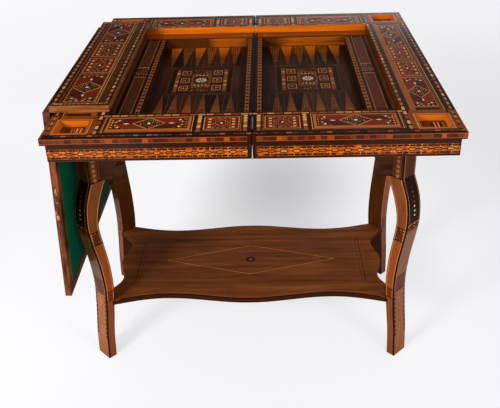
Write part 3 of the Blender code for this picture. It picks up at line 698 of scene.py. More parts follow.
def case_finish():
    """Rails of the case: border on top, bands on the outer edges, orange walls inside with the side walls
    painted darker as shade.
    """
    p = Finish("case_marquetry")
    out_x, out_y = p.from_seam()
    side, reach = out_x > out_y, out_x.most(out_y)
    along = p.either(side, p.x - SEAM_X, p.y) + (p.y > 0.0) * 3.7 + side * 1.9
    depth = TOP - p.z
    top = depth < SKIN
    below = ~top
    p.lay("dusk")
    case_top(p, out_x, out_y, side, top)
    case_edge(p, along, depth, below & (reach > EDGE_REACH) & (out_x > SEAM_CLEAR))
    # The left end of the back wall is browner
    far_left = ((p.x - SEAM_X + 0.27) * -14.0).most(0.0).least(0.85)
    back_wall = p.mix(far_left, p.streaked((5, 60, 150), "amber", "orange", 2.2, -0.5), "walnut")
    # The side walls are painted darker, walnut and wine, as painted shade; the front and back walls stay
    # orange
    p.lay(p.mix(side, back_wall, "side_wall"), below & (reach < INNER + SKIN))
    p.lay("walnut", depth > TOP - CASE_BOTTOM - SKIN)
    return p.done(stretch=(14, 60, 120), contrast=0.4)


def well_finish():
    """Corner wells: orange lip and walls, striped mosaic floor."""
    p = Finish("well_wood")
    off_x, off_y = (abs(out - (HALF + INNER) / 2) for out in p.from_seam())
    lip, floor = p.z > TOP - SKIN, p.z < TOP - WELL_FLOOR
    p.lay("well_wall")
    p.lay("well_lip", lip)
    p.lines("light", lip, off_x.most(off_y), (WELL_LINE,))
    p.lay("walnut", floor)
    stripes = p.pick(p.chance(p.x.index(WELL_STRIPE), 1.0), WELL_WOODS)
    p.lay(stripes, floor & (off_x < WELL_STRIPED[0]) & (off_y < WELL_STRIPED[1]))
    return p.done(stretch=(12, 70, 70))


def centre_cells(p, u, v, region):
    """Panel in the middle of a tray: frames, bead columns, little framed cells and a flower.

    u and v are measured from its middle, and every size is in metres.
    """
    run, rise = abs(u), abs(v)
    p.lay("ebony", region)
    p.lay("walnut", region & (run.near(0.0808, 0.0008) | rise.near(0.0925, 0.0008)))
    inner = region & (run < 0.072) & (rise < 0.082)
    lay = p.over(inner)
    lay(p.mix(0.5, mosaic(p, u, v, 0.0075), "umber"), run < 0.026)
    lay("walnut", run.within(0.0575, 0.0675))
    column = beads(p, v, 0.0, 0.0145, TRAY_BEADS, 41.0, 0.68)
    lay(p.mix(0.25, column, "umber"), run.within(0.0585, 0.0665))
    lay(p.mix(u.mid(0.009) < 0.3, "umber", "walnut"), rise.near(0.0795, 0.0016))
    cell_x, cell_y = abs(run - 0.0415), abs(abs(rise - 0.0275) - 0.0275)
    cell = (cell_x < 0.0125) & (rise < 0.074)
    size = (cell_x / 0.0115).most(cell_y / 0.0165)
    lay("umber", cell)
    lay("straw", cell & size.near(0.93, 0.07))
    lay(p.mix(0.35, mosaic(p, u, v, 0.0062), "wine"), cell & (size < 0.78))
    lay("light", cell & (cell_x + cell_y < 0.0030))
    lay("ebony", run.near(0.0275, 0.0016))
    lay("honey", run.near(0.0225, 0.0006) & (rise < 0.0475) | rise.near(0.0475, 0.0011) & (run < 0.0225))
    off = abs(rise - 0.0355)
    lay("light", (run < 0.019) & (off < 0.0050) & (u.mid(0.0095) + off / 0.009 < 0.42))
    star(p, u, v, 0.0120, inner)


def field_finish():
    """Playing field of a tray: points from both ends on a dark ground, and the middle panel."""
    p = Finish("field_marquetry")
    out_x, out_y = p.from_seam()
    pitch, tip = p.inlay.point_pitch, p.inlay.point_tip
    streak = p.noise(p.scaled(p.place, (38, 5, 38)), detail=4.0)
    p.lay(p.mix(streak * 1.1 - 0.25, "ebony", "walnut"))
    step = (out_x - p.inlay.point_start) / pitch
    inside = step.within(0.0, 6.0)
    p.lay("tray_edge", ~inside)
    off = abs(step.fract() - 0.5) * 2.0
    width = (out_y - tip) / (TRAY_Y - tip)
    point = inside & (off < width)
    between = inside & ~point & (out_y > POINT_GROUND)
    dark = p.chance((step + 0.5).floor(), p.y > 0.0)
    p.lay(p.pick(dark, TRAY_WOODS), between)
    p.lay("walnut", between & (off > 0.965) & (dark > 0.55))
    fade = (width * 1.7 - 0.65).most(0.0).least(1.0)
    plain = p.mix(fade, "walnut", p.mix(p.y > 0.0, "front_tip", "orange"))
    inlaid = p.mix(0.4, mosaic(p, off * 0.5 * pitch, p.y, 0.0062), p.mix(fade, "walnut", "rust"))
    odd = (step.floor() / 2.0).fract() > 0.25
    p.lay(p.mix(0.35, p.mix(odd, inlaid, plain), "walnut"), point)
    p.lay("walnut", inside & (off - width).near(0.0, 0.03))
    p.lay("walnut", out_y.near(TRAY_Y - TRAY_STRIP_HALF, TRAY_STRIP_HALF))
    panel_x = out_x - TRAY_PANEL
    centre_cells(p, panel_x, p.y, (abs(panel_x) < TRAY_PANEL_HALF[0]) & (out_y < TRAY_PANEL_HALF[1]))
    return p.done(stretch=(60, 9, 60), contrast=0.7)


def centre_bar_finish():
    """Bars either side of the seam: a brown strip of dark studs on a dark ground."""
    p = Finish("centre_bar_wood")
    p.lay("ebony")
    studs(p, p.z > LEDGE_TOP - SKIN, abs(p.x - SEAM_X).share(0.0143, 0.0048))
    return p.done(stretch=(60, 8, 60), gain=0.9)


def side_panel_finish():
    """Panels beside the trays: studded strip, two long red panels and a banded piece between."""
    p = Finish("side_panel_marquetry")
    out_x, out_y = p.from_seam()
    top = p.z > LEDGE_TOP - SKIN
    p.lay("umber")
    p.lay("ebony", top)
    studs(p, top, out_x.share(*SIDE_STUDS))
    strip = top & out_x.within(*SIDE_STRIP)
    p.lay("umber", strip)
    p.strips(strip, out_x, SIDE_RIMS)
    red_panel = out_x.within(*SIDE_RED) & (out_y < SIDE_RED_END)
    p.lay(p.streaked((60, 5, 60), "wine", "walnut"), strip & red_panel)
    middle = strip & (out_y < SIDE_BANDED)
    p.lay(p.mix(out_y.mid(SIDE_BAND) < 0.24, "umber", "honey"), middle)
    p.lay(mosaic(p, out_x, p.y, 0.0065), middle & out_y.within(*SIDE_MOSAIC))
    p.lay("walnut", top & out_x.within(*SIDE_DARK))
    return p.done(stretch=(70, 7, 70), gain=0.95)


def ledge_finish():
    """Ledges at the front and back of the trays: orange-brown with a light line that ends in dots; painted
    orange highlights on the walls.
    """
    p = Finish("ledge_wood")
    out_x, out_y = p.from_seam()
    top = p.z > LEDGE_TOP - SKIN
    along = p.x - SEAM_X
    # Painted highlights: orange light mirrored on the ledges' brown walls in two places along them
    patch = (1.0 - abs(along + 0.075) / 0.060).most(0.75 - abs(along - 0.170) / 0.150).most(0.0)
    streak = p.grain((9, 60, 190))
    painted_light = (patch * 1.6 + (streak - 0.5) * patch * 6.0).most(0.0).least(0.6)
    p.lay("brown")
    p.lay(p.mix(streak, "rust", "orange"), painted_light)
    lay = p.over(top)
    lay("ledge_top")
    lay("umber", out_y.within(*LEDGE_STRIP))
    off = abs(out_x - LEDGE_LINE_MIDDLE)
    lay("honey", out_y.near(LEDGE_LINE) & (off < LEDGE_LINE_HALF))
    lay("light", abs(out_y - LEDGE_LINE) + abs(off - LEDGE_LINE_HALF) < LEDGE_DOT)
    lay("ebony", out_x < LEDGE_END)
    return p.done(stretch=(6, 70, 70), contrast=0.6)


# Finishes of the cover board

# Strips of its border, in from the long edge: wood, start and end
BOARD_STRIPS = (("wine", 0.0130, 0.0175), ("honey", 0.0194, 0.0206), ("honey", 0.0266, 0.0278),
                ("umber", 0.0212, 0.0262), ("walnut", 0.0985, 0.1100), ("light", 0.0989, 0.1001),
                ("light", 0.1046, 0.1058), ("brown", 0.1110, 0.1208))

# Middle and half size of its panels along the border, and of both across it
BOARD_LOZENGE = (0.2125, 0.0925)
BOARD_FRAME = (0.060, 0.056)
BOARD_PANEL_WIDTH = (0.06325, 0.03475)
BOARD_FRAME_SIZE = (0.034, 0.050)

# Its bead lines across the border, the run and the place of those at its ends, and its plain ends
BOARD_BEADS, END_BEAD_RUN, END_BEADS, BOARD_END = (0.0085, 0.1262), (0.004, 0.1305), 0.3135, 0.3170

# The wide leaf: thickness, width from its hinge, width of its chess field, and the field's middle
WIDE_THICKNESS, WIDE_WIDTH, WIDE_FIELD, CHESS_MIDDLE = 0.016, 0.507, 0.377, 0.187

# Its lozenge panels: middle and half size along the leaf's length, half size across it
WIDE_LOZENGE, WIDE_LOZENGE_HALF = (0.233, 0.062), 0.150

# Light specks on its front edge: end along the leaf, run from the hinge, depth past which they show
SPECKS_END, SPECKS_RUN, SPECKS_DEPTH = -0.3225, (0.185, 0.280), 0.007

# Its plain ends: where their brown ground and their dark strip start
WIDE_GROUND, WIDE_END = 0.3105, 0.3180


def board_border(p, s, t, face):
    """Border of the cover board: s runs in from its long edge, t along it from the middle."""
    far, half = abs(t), p.inlay.bead_half
    p.lay("dusk", face)
    p.strips(face, s, BOARD_STRIPS)
    width = s.share(*BOARD_PANEL_WIDTH)
    lozenge_panel(p, far.share(*BOARD_LOZENGE), width, face, (BOARD_LOZENGE[1], BOARD_PANEL_WIDTH[1]))
    frame_panel(p, width, far.share(*BOARD_FRAME), face, BOARD_FRAME_SIZE)
    across = abs(s - BOARD_BEADS[0]).least(abs(s - BOARD_BEADS[1])) / (half * 0.8)
    bead_row(p, face, t, across, 2.0, SIDE_BEADS, 29.0, 0.76)
    across = abs(far - END_BEADS) / (half * 0.7)
    bead_row(p, face & s.within(*END_BEAD_RUN), s, across, 0.8, SIDE_BEADS, 31.0)
    p.lay("umber", face & (far > BOARD_END))


def narrow_leaf_finish():
    """Narrow leaf of the cover board: the border pattern on top, walnut edges, wood frame below."""
    low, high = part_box("board_narrow_leaf")
    p = Finish("narrow_leaf_marquetry")
    p.lay(p.streaked((9, 60, 160), "walnut", "leaf_edge", 2.6, -0.75))
    board_border(p, p.x - low[0], p.y - (low[1] + high[1]) / 2, p.z > high[2] - SKIN)
    return p.done(stretch=(16, 16, 170), gain=0.8)


def node_points(node):
    """Points of a CAD node's mesh, one to a row."""
    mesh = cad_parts[node].data
    points = np.zeros(len(mesh.vertices) * 3)
    mesh.vertices.foreach_get("co", points)
    return points.reshape(-1, 3)


def leaf_frame(node):
    """Hinge corner, downward direction and outward direction of a hanging leaf, in X and Z."""
    flat = node_points(node)[:, (0, 2)]
    top = flat[flat[:, 1].argmax()]
    down = np.linalg.svd(flat - flat.mean(axis=0), full_matrices=False)[2][0]
    down = down * -np.sign(down[1])
    out = np.array((down[1], -down[0]))
    low_along, low_out = ((flat - top) @ down).min(), ((flat - top) @ out).min()
    return top + down * low_along + out * low_out, down, out


def wide_leaf_finish():
    """Wide leaf: chessboard and panels on its outward face, a border along the far edge.

    The sizes of the chessboard's rim are in squares.
    """
    low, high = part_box("board_wide_leaf")
    corner, down, out = (tuple(map(float, pair)) for pair in leaf_frame("board_wide_leaf"))
    p = Finish("wide_leaf_marquetry")
    x, z = p.x - corner[0], p.z - corner[1]
    s, depth = x * down[0] + z * down[1], x * out[0] + z * out[1]
    t = p.y - (low[1] + high[1]) / 2
    far = abs(t)
    p.lay(p.streaked((60, 10, 14), "umber", "veneer", 3.0, -1.15))
    light_specks = (t < SPECKS_END) & s.within(*SPECKS_RUN) & (p.noise(p.place, scale=70.0) > 0.58)
    p.lay("stringing", light_specks & (depth > SPECKS_DEPTH))
    face = depth > WIDE_THICKNESS - SKIN
    board_border(p, WIDE_WIDTH - s, t, face & (s > WIDE_FIELD))
    field = face & (s < WIDE_FIELD)
    lay = p.over(field)
    lay("ebony")
    lay(p.streaked((60, 10, 10), "umber", "walnut"), far < WIDE_GROUND)
    square = p.inlay.chess_square
    step_s, step_t = s.share(CHESS_MIDDLE, square), t / square
    rim = abs(step_s).most(abs(step_t))
    dark = ((step_s.floor() + step_t.floor()) / 2.0).fract() > 0.25
    lay("ebony", rim < 4.45)
    lay("light", rim.near(4.22, 0.03))
    lay(p.mix(dark, "honey", "wine"), rim < 4.0)
    lozenge_panel(p, s.share(CHESS_MIDDLE, WIDE_LOZENGE_HALF), far.share(*WIDE_LOZENGE), field,
                  (WIDE_LOZENGE_HALF, WIDE_LOZENGE[1]))
    bead_row(p, field, s, abs(far - END_BEADS) / p.inlay.bead_half, 1.0, SIDE_BEADS, 37.0)
    lay("umber", far > WIDE_END)
    return p.done(stretch=(90, 10, 12))


def baize_finish():
    """Green wool cloth: short uneven nap, no gloss."""
    p = Finish("green_baize_cloth")
    nap = p.noise(p.place, scale=900.0, detail=2.0)
    rub = p.noise(p.place, scale=14.0, detail=4.0)
    level = 1.0 + (nap - 0.5) * 0.5 + (rub - 0.5) * 0.45
    return p.connect({"Base Color": p.shaded("baize", level), "Roughness": 0.95,
                      "Normal": p.relief(0.35, 0.0004, nap), "Specular IOR Level": 0.06})


# Finishes of the base

# Height where a leg's knee meets its post
KNEE = 0.5555

# Heights of the veneers on the legs' flat sides and outward faces: wood, start and end
LEG_SIDES = (("leg_middle", 0.219, 0.378), ("leg_foot", 0.0, 0.190), ("walnut", KNEE, POST_TOP),
             ("leg_red", 0.190, 0.219))
# On the outward faces the grey panel is walnut with a painted sheen
LEG_FRONTS = (("leg_grey", 0.259, 0.409), ("knee", 0.435, KNEE), ("honey", 0.409, 0.435),
              ("toe_red", 0.211, 0.259), ("leg_pale", 0.0, 0.211))

# Heights of the dark joints between them
SIDE_JOINTS = (0.417, 0.378, 0.219, 0.190)
FRONT_JOINTS = (0.435, 0.409, 0.259, 0.211)

# Lines in from a leg's sides: stringing in front and behind with half its width, and dark edges
FRONT_STRING, BACK_STRING, DARK_EDGES = (0.0060, 0.0010), (0.0032, 0.0010), (0.0044, 0.0016)

# A post's ovals, half across and along, and the lines beside them with half their width
POST_OVAL, POST_LINE = (0.0042, 0.0046), (0.0105, 0.0009)

# Heights on the outward faces: spots, the change of their wood, mosaic band, teeth and dots
SPOTS, SPOT_CHANGE, FRONT_BAND = (0.452, 0.530), 0.487, (0.413, 0.431)
TEETH, DOTS = (0.066, 0.205), (0.078, 0.198)

# Half the size of the spots and dots, the faces' dark edge, and their light line with half its width
SPOT_HALF, DOT_HALF, FRONT_EDGE, FRONT_LINE = 0.0034, 0.0028, 0.0022, (0.0037, 0.0005)

# Half the width of a joint and of a leg, and the range of its curve
JOINT, LEG_HALF, LEG_RANGE = 0.0012, 0.025, 0.25

# Pitches up a leg: beads on the post, spots on the knee, teeth and dots on the foot
POST_BEAD, KNEE_SPOT, FOOT_TOOTH, FOOT_DOT = 0.0135, 0.0125, 0.0145, 0.0105

# The shelf's waved edge: how far from its middle it is read, and the range of its curve
SHELF_END, SHELF_RANGE = 0.36, 0.40

# Its lines: two frames and the lozenge, half along and half across; the line along the waved edge
SHELF_FRAMES, SHELF_LOZENGE = ((0.328, 0.111), (0.317, 0.1055)), (0.246, 0.0735)
SHELF_EDGE_LINE, SHELF_EDGE_END, SHELF_DARK_EDGE = (0.0075, 0.0007), 0.33, 0.0035


def leg_rows():
    """Height, inner and outer distance of the leg's curve, read off one leg of the frame."""
    points = node_points("leg_front_right")
    out = (points[:, 0] - BASE_X - points[:, 1]) * DIAGONAL
    across = (points[:, 0] - BASE_X + points[:, 1]) * DIAGONAL
    origin = out[points[:, 2] < SKIN].max()
    rows = []
    for height in np.unique(points[:, 2].round(4)):
        level = out[abs(points[:, 2] - height) < SKIN / 2] - origin
        if np.ptp(level) > 0.02:
            rows.append((float(height), float(level.min()), float(level.max())))
    rows.insert(-1, (rows[-2][0] + SKIN, rows[-1][1], rows[-1][2]))
    return rows, float(origin), float((across.min() + across.max()) / 2)


def leg_curve(p, rows, side):
    """Distance of a leg's inner side, 1, or outer side, 2, at each height."""
    points = [(row[0] / POST_TOP, row[side] / LEG_RANGE + 0.5) for row in rows]
    return (p.curve(p.z / POST_TOP, points) - 0.5) * LEG_RANGE


def leg_sides(p, out, inner, outer, flat):
    """Flat sides of a leg: panels, a mosaic band, stringing along the curve, beads on the post."""
    lay, post = p.over(flat), p.z > KNEE
    lay(p.streaked((60, 60, 7), "walnut", "veneer"))
    p.strips(flat, p.z, LEG_SIDES)
    lay(p.mix(0.5, mosaic(p, out, p.z, 0.0095), "walnut"), p.z.within(0.378, 0.417))
    front, back = outer - out, out - inner
    lay("stringing", p.z.within(0.190, KNEE) & (front.near(*FRONT_STRING) | back.near(*BACK_STRING)))
    lay("ebony", (front < DARK_EDGES[0]) | (back < DARK_EDGES[1]))
    p.lines("ebony", flat, p.z, (KNEE,), 0.0022)
    p.lines("ebony", flat, p.z, SIDE_JOINTS, JOINT)
    centre = abs((outer + inner) * 0.5 - out)
    across, along = centre / POST_OVAL[0], p.z.mid(POST_BEAD) * POST_BEAD / POST_OVAL[1]
    p.lay("ebony", flat & post & centre.near(*POST_LINE))
    lay("leg_oval", post & (across * across + along * along < 1.0))


def leg_fronts(p, across, outward):
    """Outward face of a leg: dark knee with spots, mosaic band, grey panel of painted sheen over walnut,
    toothed pale foot.
    """
    off = abs(across)
    edge = LEG_HALF - off
    lay = p.over(outward)
    lay(p.streaked((60, 60, 9), "umber", "walnut"))
    p.strips(outward, p.z, LEG_FRONTS)
    spots = p.z.within(*SPOTS) & (off + p.z.mid(KNEE_SPOT) * KNEE_SPOT < SPOT_HALF)
    lay(p.mix(p.z > SPOT_CHANGE, "pearl", "rust"), spots)
    lay(mosaic(p, across, p.z, 0.0085), p.z.within(*FRONT_BAND))
    lay("ebony", p.z.within(*TEETH) & (edge < 0.0025 + p.z.mid(FOOT_TOOTH) * 0.013))
    dots = p.z.within(*DOTS) & (off + p.z.mid(FOOT_DOT) * FOOT_DOT < DOT_HALF)
    lay(p.mix(p.chance(p.z.index(FOOT_DOT)), "light", "red"), dots)
    lay("ebony", edge < FRONT_EDGE)
    lay("light", edge.near(*FRONT_LINE) & (p.z > 0.211))
    p.lines("ebony", outward, p.z, FRONT_JOINTS, JOINT)


def leg_finish():
    """Legs: stringing along the curve, a banded piece at the knee, panels in three woods."""
    rows, origin, middle = leg_rows()
    p = Finish("leg_marquetry")
    plan_x, plan_y = abs(p.x - BASE_X), abs(p.y)
    out = (plan_x + plan_y) * DIAGONAL - origin
    across = (plan_x - plan_y) * DIAGONAL - middle
    inner, outer = leg_curve(p, rows, 1), leg_curve(p, rows, 2)
    flat = abs(across) > LEG_HALF - 0.0002
    p.lay(p.streaked((60, 60, 7), "umber", "walnut"))
    leg_sides(p, out, inner, outer, flat)
    leg_fronts(p, across, ~flat & (outer - out < 0.0012))
    return p.done(stretch=(70, 70, 8), contrast=0.65, coat=0.12 + (p.z < 0.409) * 0.4)


def apron_finish():
    """Aprons and brackets: brown veneer edged with a dark line, darkened by half as painted shade under the
    case.
    """
    p = Finish("apron_veneer")
    low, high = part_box("bracket_front_right")
    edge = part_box("apron_front")[0][2]
    p.lay(p.streaked((9, 9, 80), "umber", "walnut"))
    p.lay("ebony", p.z.near(edge + 0.003, 0.0014) | p.z.near(high[2] - 0.003, 0.0014))
    p.lay("honey", p.z.near(edge + 0.0062))
    p.lay("ebony", p.z < low[2] + 0.002)
    # gain 0.5 darkens the aprons and brackets by half: painted shade under the case
    return p.done(stretch=(9, 9, 80), contrast=0.6, gain=0.5, coat=0.12)


def shelf_rows():
    """Distance of the shelf's long edge from its middle line at steps along the shelf."""
    points = abs(node_points("shelf") - (BASE_X, 0, 0))
    places = np.unique(points[:, 0].round(4))
    rows = []
    for place in places[places < SHELF_END]:
        reach = float(points[abs(points[:, 0] - place) < SKIN / 2, 1].max())
        if reach > 0.14:
            rows.append((float(place), reach))
    return rows


def shelf_finish():
    """Shelf: polished red-brown veneer with a framed lozenge, a small star and an edge line."""
    p = Finish("shelf_veneer")
    run, rise = abs(p.x - BASE_X), abs(p.y)
    streak = p.noise(p.scaled(p.place, (3.5, 56, 56)), detail=6.0, rough=0.66)
    patch = p.noise(p.scaled(p.place, (2.5, 6, 6)), detail=2.0)
    top = p.z > SHELF_TOP - SKIN
    p.lay(p.mix((streak - 0.5) * 2.0 + 0.62, "umber", "shelf"))
    p.lay("shelf_patch", (patch - 0.5).most(0.0) * 1.8)
    p.lay("umber", ~top)
    lay = p.over(top)
    outer, inner = ((run - half_x).most(rise - half_y) for half_x, half_y in SHELF_FRAMES)
    heart, points = run / SHELF_LOZENGE[0] + rise / SHELF_LOZENGE[1], crossed_squares(run, rise)
    lay("umber", outer.near(0.0, 0.0008) | inner.near(0.0, 0.0008))
    lay("honey", inner.near(-0.0016, 0.0004))
    lay("stringing", heart.near(1.0, 0.016))
    lay("umber", heart.near(0.970, 0.014))
    lay("umber", points.within(0.005, 0.0115))
    lay("honey", run + rise < 0.0045)
    curve = [(place / SHELF_RANGE, reach / SHELF_RANGE) for place, reach in shelf_rows()]
    edge = p.curve(run / SHELF_RANGE, curve) * SHELF_RANGE - rise
    lay("honey", edge.near(*SHELF_EDGE_LINE) & (run < SHELF_EDGE_END))
    lay("ebony", (edge < SHELF_DARK_EDGE) & (run < SHELF_END))
    return p.done(stretch=(4, 60, 60), contrast=0.7, coat=0.15 + top * 0.75, bump=0.04)


def plain_wood_finish():
    """Boards that are seldom seen: oiled pale wood."""
    p = Finish("plain_wood_oiled")
    p.lay(p.streaked((60, 6, 60), "walnut", "honey"))
    return p.done(stretch=(60, 6, 60), rough=0.6, coat=0.05)


def metal_finish():
    """Steel of the hinges and pivot: fine brushing, a little tarnish."""
    p = Finish("brushed_steel")
    brush = p.noise(p.scaled(p.place, (900, 40, 900)), detail=2.0)
    tarnish = p.noise(p.place, scale=90.0)
    p.lay(p.mix(tarnish, "steel", "umber"))
    p.lay("steel", (0.72 - tarnish).most(0.0) * 3.0)
    return p.connect({"Base Color": p.shaded(p.colour, 0.85 + brush * 0.3), "Metallic": 1.0,
                      "Roughness": 0.28 + tarnish * 0.25})


def dress(nodes, material):
    """Give CAD nodes a material in their own slots."""
    for name in nodes:
        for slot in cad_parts[name].material_slots:
            slot.material = material


# New pieces

# Steps of the baize across and along, and power that rounds its edges down
BAIZE_STEPS, BAIZE_ROUNDING = (61, 81), 12

# Faces of the hinge plates: body that carries them, the way each looks and the way it runs from its pin
HANG = math.radians(2.9)
HINGE_FACES = (
    ("seam_hinge", "bed", "base", (1.0, 0.0, 0.0), (0.0, 0.0, -1.0)),
    ("seam_hinge", "leaf", "leaf", (-1.0, 0.0, 0.0), (0.0, 0.0, -1.0)),
    ("board_hinge", "narrow", "narrow_board", (-1.0, 0.0, 0.0), (0.0, 0.0, 1.0)),
    ("board_hinge", "wide", "wide_board", (math.sin(HANG), 0.0, math.cos(HANG)),
     (-math.cos(HANG), 0.0, math.sin(HANG))),
)
# Screws of each hinge: radius and rise of the head, half the gap of the plates, distance from the pin
HINGE_SCREWS = {"seam_hinge": ((0.0026, 0.0004), 0.001, 0.0132),
                "board_hinge": ((0.0016, 0.00015), 0.00025, 0.0069)}
# Places of the screws along the pin, as shares of its length; rings and turns of a head's surface
SCREW_STEPS = (-0.36, 0.0, 0.36)
HEAD_RINGS, HEAD_TURNS = 9, 28


def mesh_object(name, points, loops, material):
    """Object of an array of points and quads, in the scene."""
    mesh = bpy.data.meshes.new(name)
    mesh.from_pydata(points.tolist(), [], loops.tolist())
    mesh.materials.append(material)
    piece = bpy.data.objects.new(name, mesh)
    bpy.context.scene.collection.objects.link(piece)
    return piece


def grid_quads(rows, columns, wrap=False):
    """Corner numbers of the quads of a grid, rows by columns, closed across its columns if wrap."""
    count = columns if wrap else columns - 1
    row, column = np.meshgrid(np.arange(rows - 1), np.arange(count), indexing="ij")
    after = (column + 1) % columns
    first, second = row * columns, (row + 1) * columns
    return np.stack((first + column, first + after, second + after, second + column), -1).reshape(-1, 4)


def closed_piece(name, points, loops, material, body):
    """Closed shell that rides on a body: touching points merged, faces turned outwards and smooth."""
    piece = mesh_object(name, points, loops, material)
    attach(piece, body)
    shell = bmesh.new()
    shell.from_mesh(piece.data)
    bmesh.ops.remove_doubles(shell, verts=shell.verts, dist=1e-6)
    bmesh.ops.recalc_face_normals(shell, faces=shell.faces)
    shell.to_mesh(piece.data)
    shell.free()
    piece.data.polygons.foreach_set("use_smooth", [True] * len(piece.data.polygons))
    return piece


def baize_piece(leaf, material):
    """Cloth in its recess: a grid over the CAD cloth, slightly uneven, rounded down at its edges.

    The lift off the board is thickness times (1 - u^12)(1 - v^12) plus a slow wave, with u and v
    from -1 to 1 across the cloth; a second layer below closes it.
    """
    board = f"board_{leaf}_leaf"
    node = f"{board}_baize"
    points = node_points(node)
    middle = (points.min(axis=0) + points.max(axis=0)) / 2
    flat = points[:, (0, 2)] - middle[[0, 2]]
    along = np.linalg.svd(flat, full_matrices=False)[2][0]
    normal = np.array((-along[1], along[0]))
    if normal @ (middle[[0, 2]] - node_points(board)[:, (0, 2)].mean(axis=0)) < 0:
        normal = -normal
    reach_s, reach_n = abs(flat @ along).max(), abs(flat @ normal).max()
    reach_t = points[:, 1].max() - middle[1]
    u, v = np.meshgrid(*(np.linspace(-1, 1, steps) for steps in BAIZE_STEPS), indexing="ij")
    swell = (1 - u ** BAIZE_ROUNDING) * (1 - v ** BAIZE_ROUNDING)
    wave = np.sin(7 * u + 2 * v) * np.sin(5 * v - 1.5 * u)
    layers = []
    for lift in (reach_n * (2 * swell - 1) * (0.9 + 0.1 * wave), np.full_like(u, -reach_n)):
        plane = u[..., None] * reach_s * along + lift[..., None] * normal
        layers.append(np.stack((middle[0] + plane[..., 0], middle[1] + v * reach_t,
                                middle[2] + plane[..., 1]), -1).reshape(-1, 3))
    count = len(layers[0])
    quads = grid_quads(*BAIZE_STEPS)
    numbers = np.arange(count).reshape(BAIZE_STEPS)
    rim = np.concatenate((numbers[0, :-1], numbers[:-1, -1], numbers[-1, :0:-1], numbers[:0:-1, 0]))
    after = np.roll(rim, -1)
    sides = np.stack((rim, after, after + count, rim + count), -1)
    loops = np.concatenate((quads, quads[:, ::-1] + count, sides))
    piece = closed_piece(f"{leaf}_leaf_cloth", np.concatenate(layers), loops, material, f"{leaf}_board")
    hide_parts(node)
    float(2 * reach_s)
    float(2 * reach_t)


def screw_heads(name, places, faces, runs, size, material, body):
    """Countersunk screw heads: each a disc of rings whose height is a low dome less a straight slot.

    places are the heads' middles, faces the way they look and runs the way across their slots. The
    dome is rise times (1 - 0.6 r^2) with r from 0 to 1, and the slot leaves a quarter of it.
    """
    radius, rise = size
    turns = np.linspace(0, 2 * math.pi, HEAD_TURNS, endpoint=False)
    share, turn = np.meshgrid(np.linspace(0, 1, HEAD_RINGS), turns, indexing="ij")
    across, along = share * np.cos(turn), share * np.sin(turn)
    dome = rise * (1 - 0.6 * share ** 2)
    dome = np.where((abs(across) < 0.16) & (share < 0.9), dome * 0.25, dome)
    dome[-1] = 0
    disc = (dome[..., None] * faces + radius * across[..., None] * runs
            + radius * along[..., None] * np.cross(runs, faces)).reshape(-1, 3)
    ring_quads = grid_quads(HEAD_RINGS, HEAD_TURNS, wrap=True)
    points = np.concatenate([place + disc for place in places])
    quads = np.concatenate([ring_quads + number * len(disc) for number in range(len(places))])
    closed_piece(name, points, quads, material, body)


def hinge_screws(material):
    """Three screws in each hinge plate, on the face that meets the other plate."""
    for hinge, half, body, faces, runs in HINGE_FACES:
        size, half_gap, reach = HINGE_SCREWS[hinge]
        faces, runs = np.array(faces), np.array(runs)
        places = []
        for end in ("front", "back"):
            low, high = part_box(f"{hinge}_{end}_pin")
            axis = (np.array(low) + np.array(high)) / 2
            for step in SCREW_STEPS:
                along = np.array((0.0, step * (high[1] - low[1]), 0.0))
                places.append(axis + along + runs * reach - faces * half_gap)
        screw_heads(f"{hinge}_{half}_screws", places, faces, runs, size, material, body)


# Stage

# Painted shadow and light on the studio floor as the camera sees it: the table's shadow behind it, shade to
# the right, at the left and at the front, and a brighter patch far back at the left where the depth is
# negative; x and y of the middle, reach along x and y, and depth
FLOOR_PAINTED_SHADOWS = ((0.10, 0.80, 0.42, 0.75, 0.55), (1.25, 1.0, 1.3, 2.4, 0.22), (-1.0, 0.5, 0.9, 1.2, 0.07),
                (-2.5, 4.5, 3.5, 3.5, -0.13), (-0.3, -1.0, 3.0, 1.1, 0.24))

# Its brightness between them, which clips to white, and half its side
FLOOR_GREY = 1.22
FLOOR_REACH = 14

# Lamps: place, share of the key lamp's power
LAMPS = {"key_lamp": ((-1.7, -2.2, 1.7), 1.0), "fill_lamp": ((1.8, -2.2, 1.5), 0.35)}

# The place they aim at, and the side of each
LAMP_TARGET = (0, 0, 0.4)
LAMP_SIZE = 0.7


def floor_material(colour):
    """Pale floor: shaded white paper.

    The camera sees it lifted to white, with the painted shadow of the table behind it, painted shade to the
    right, left and front, and a painted brighter patch far back at the left; polished pieces see it dim but
    at the sides.
    """
    p = Finish("studio_paper")
    seen, mirrored = p.rays()
    grey = FLOOR_GREY
    for x, y, reach_x, reach_y, depth in FLOOR_PAINTED_SHADOWS:
        across, away = p.x.share(x, reach_x), p.y.share(y, reach_y)
        # each painted shadow is a soft round patch that lowers the grey
        spot = (1.0 - across * across - away * away).most(0.0)
        grey = grey - spot * spot * depth
    painted_light = p.node("ShaderNodeEmission", sockets={"Color": p.vector(grey, grey * 0.995, grey * 1.01),
                                                 "Strength": 1.0})
    dim = (2.95 - abs(p.x) * 5.25).most(0.3).least(0.85)
    tint = p.mix(mirrored * dim, colour, (0.0, 0.0, 0.0))
    paper = p.node("ShaderNodeBsdfDiffuse", sockets={"Color": tint})
    both = p.node("ShaderNodeMixShader", sockets={0: seen * 0.55, 1: paper.outputs[0], 2: painted_light.outputs[0]})
    plug(p.tree, p.tree.nodes["Material Output"].inputs["Surface"], both.outputs[0])
    p.tree.nodes.remove(p.shader)
    return p.material


def studio_floor(colour):
    """Flat floor: a square grid at height 0."""
    reach = np.linspace(-FLOOR_REACH, FLOOR_REACH, 5)
    x, y = np.meshgrid(reach, reach, indexing="ij")
    points = np.stack((x, y, np.zeros_like(x)), -1).reshape(-1, 3)
    floor = mesh_object("studio_floor", points, grid_quads(*x.shape), floor_material(colour))


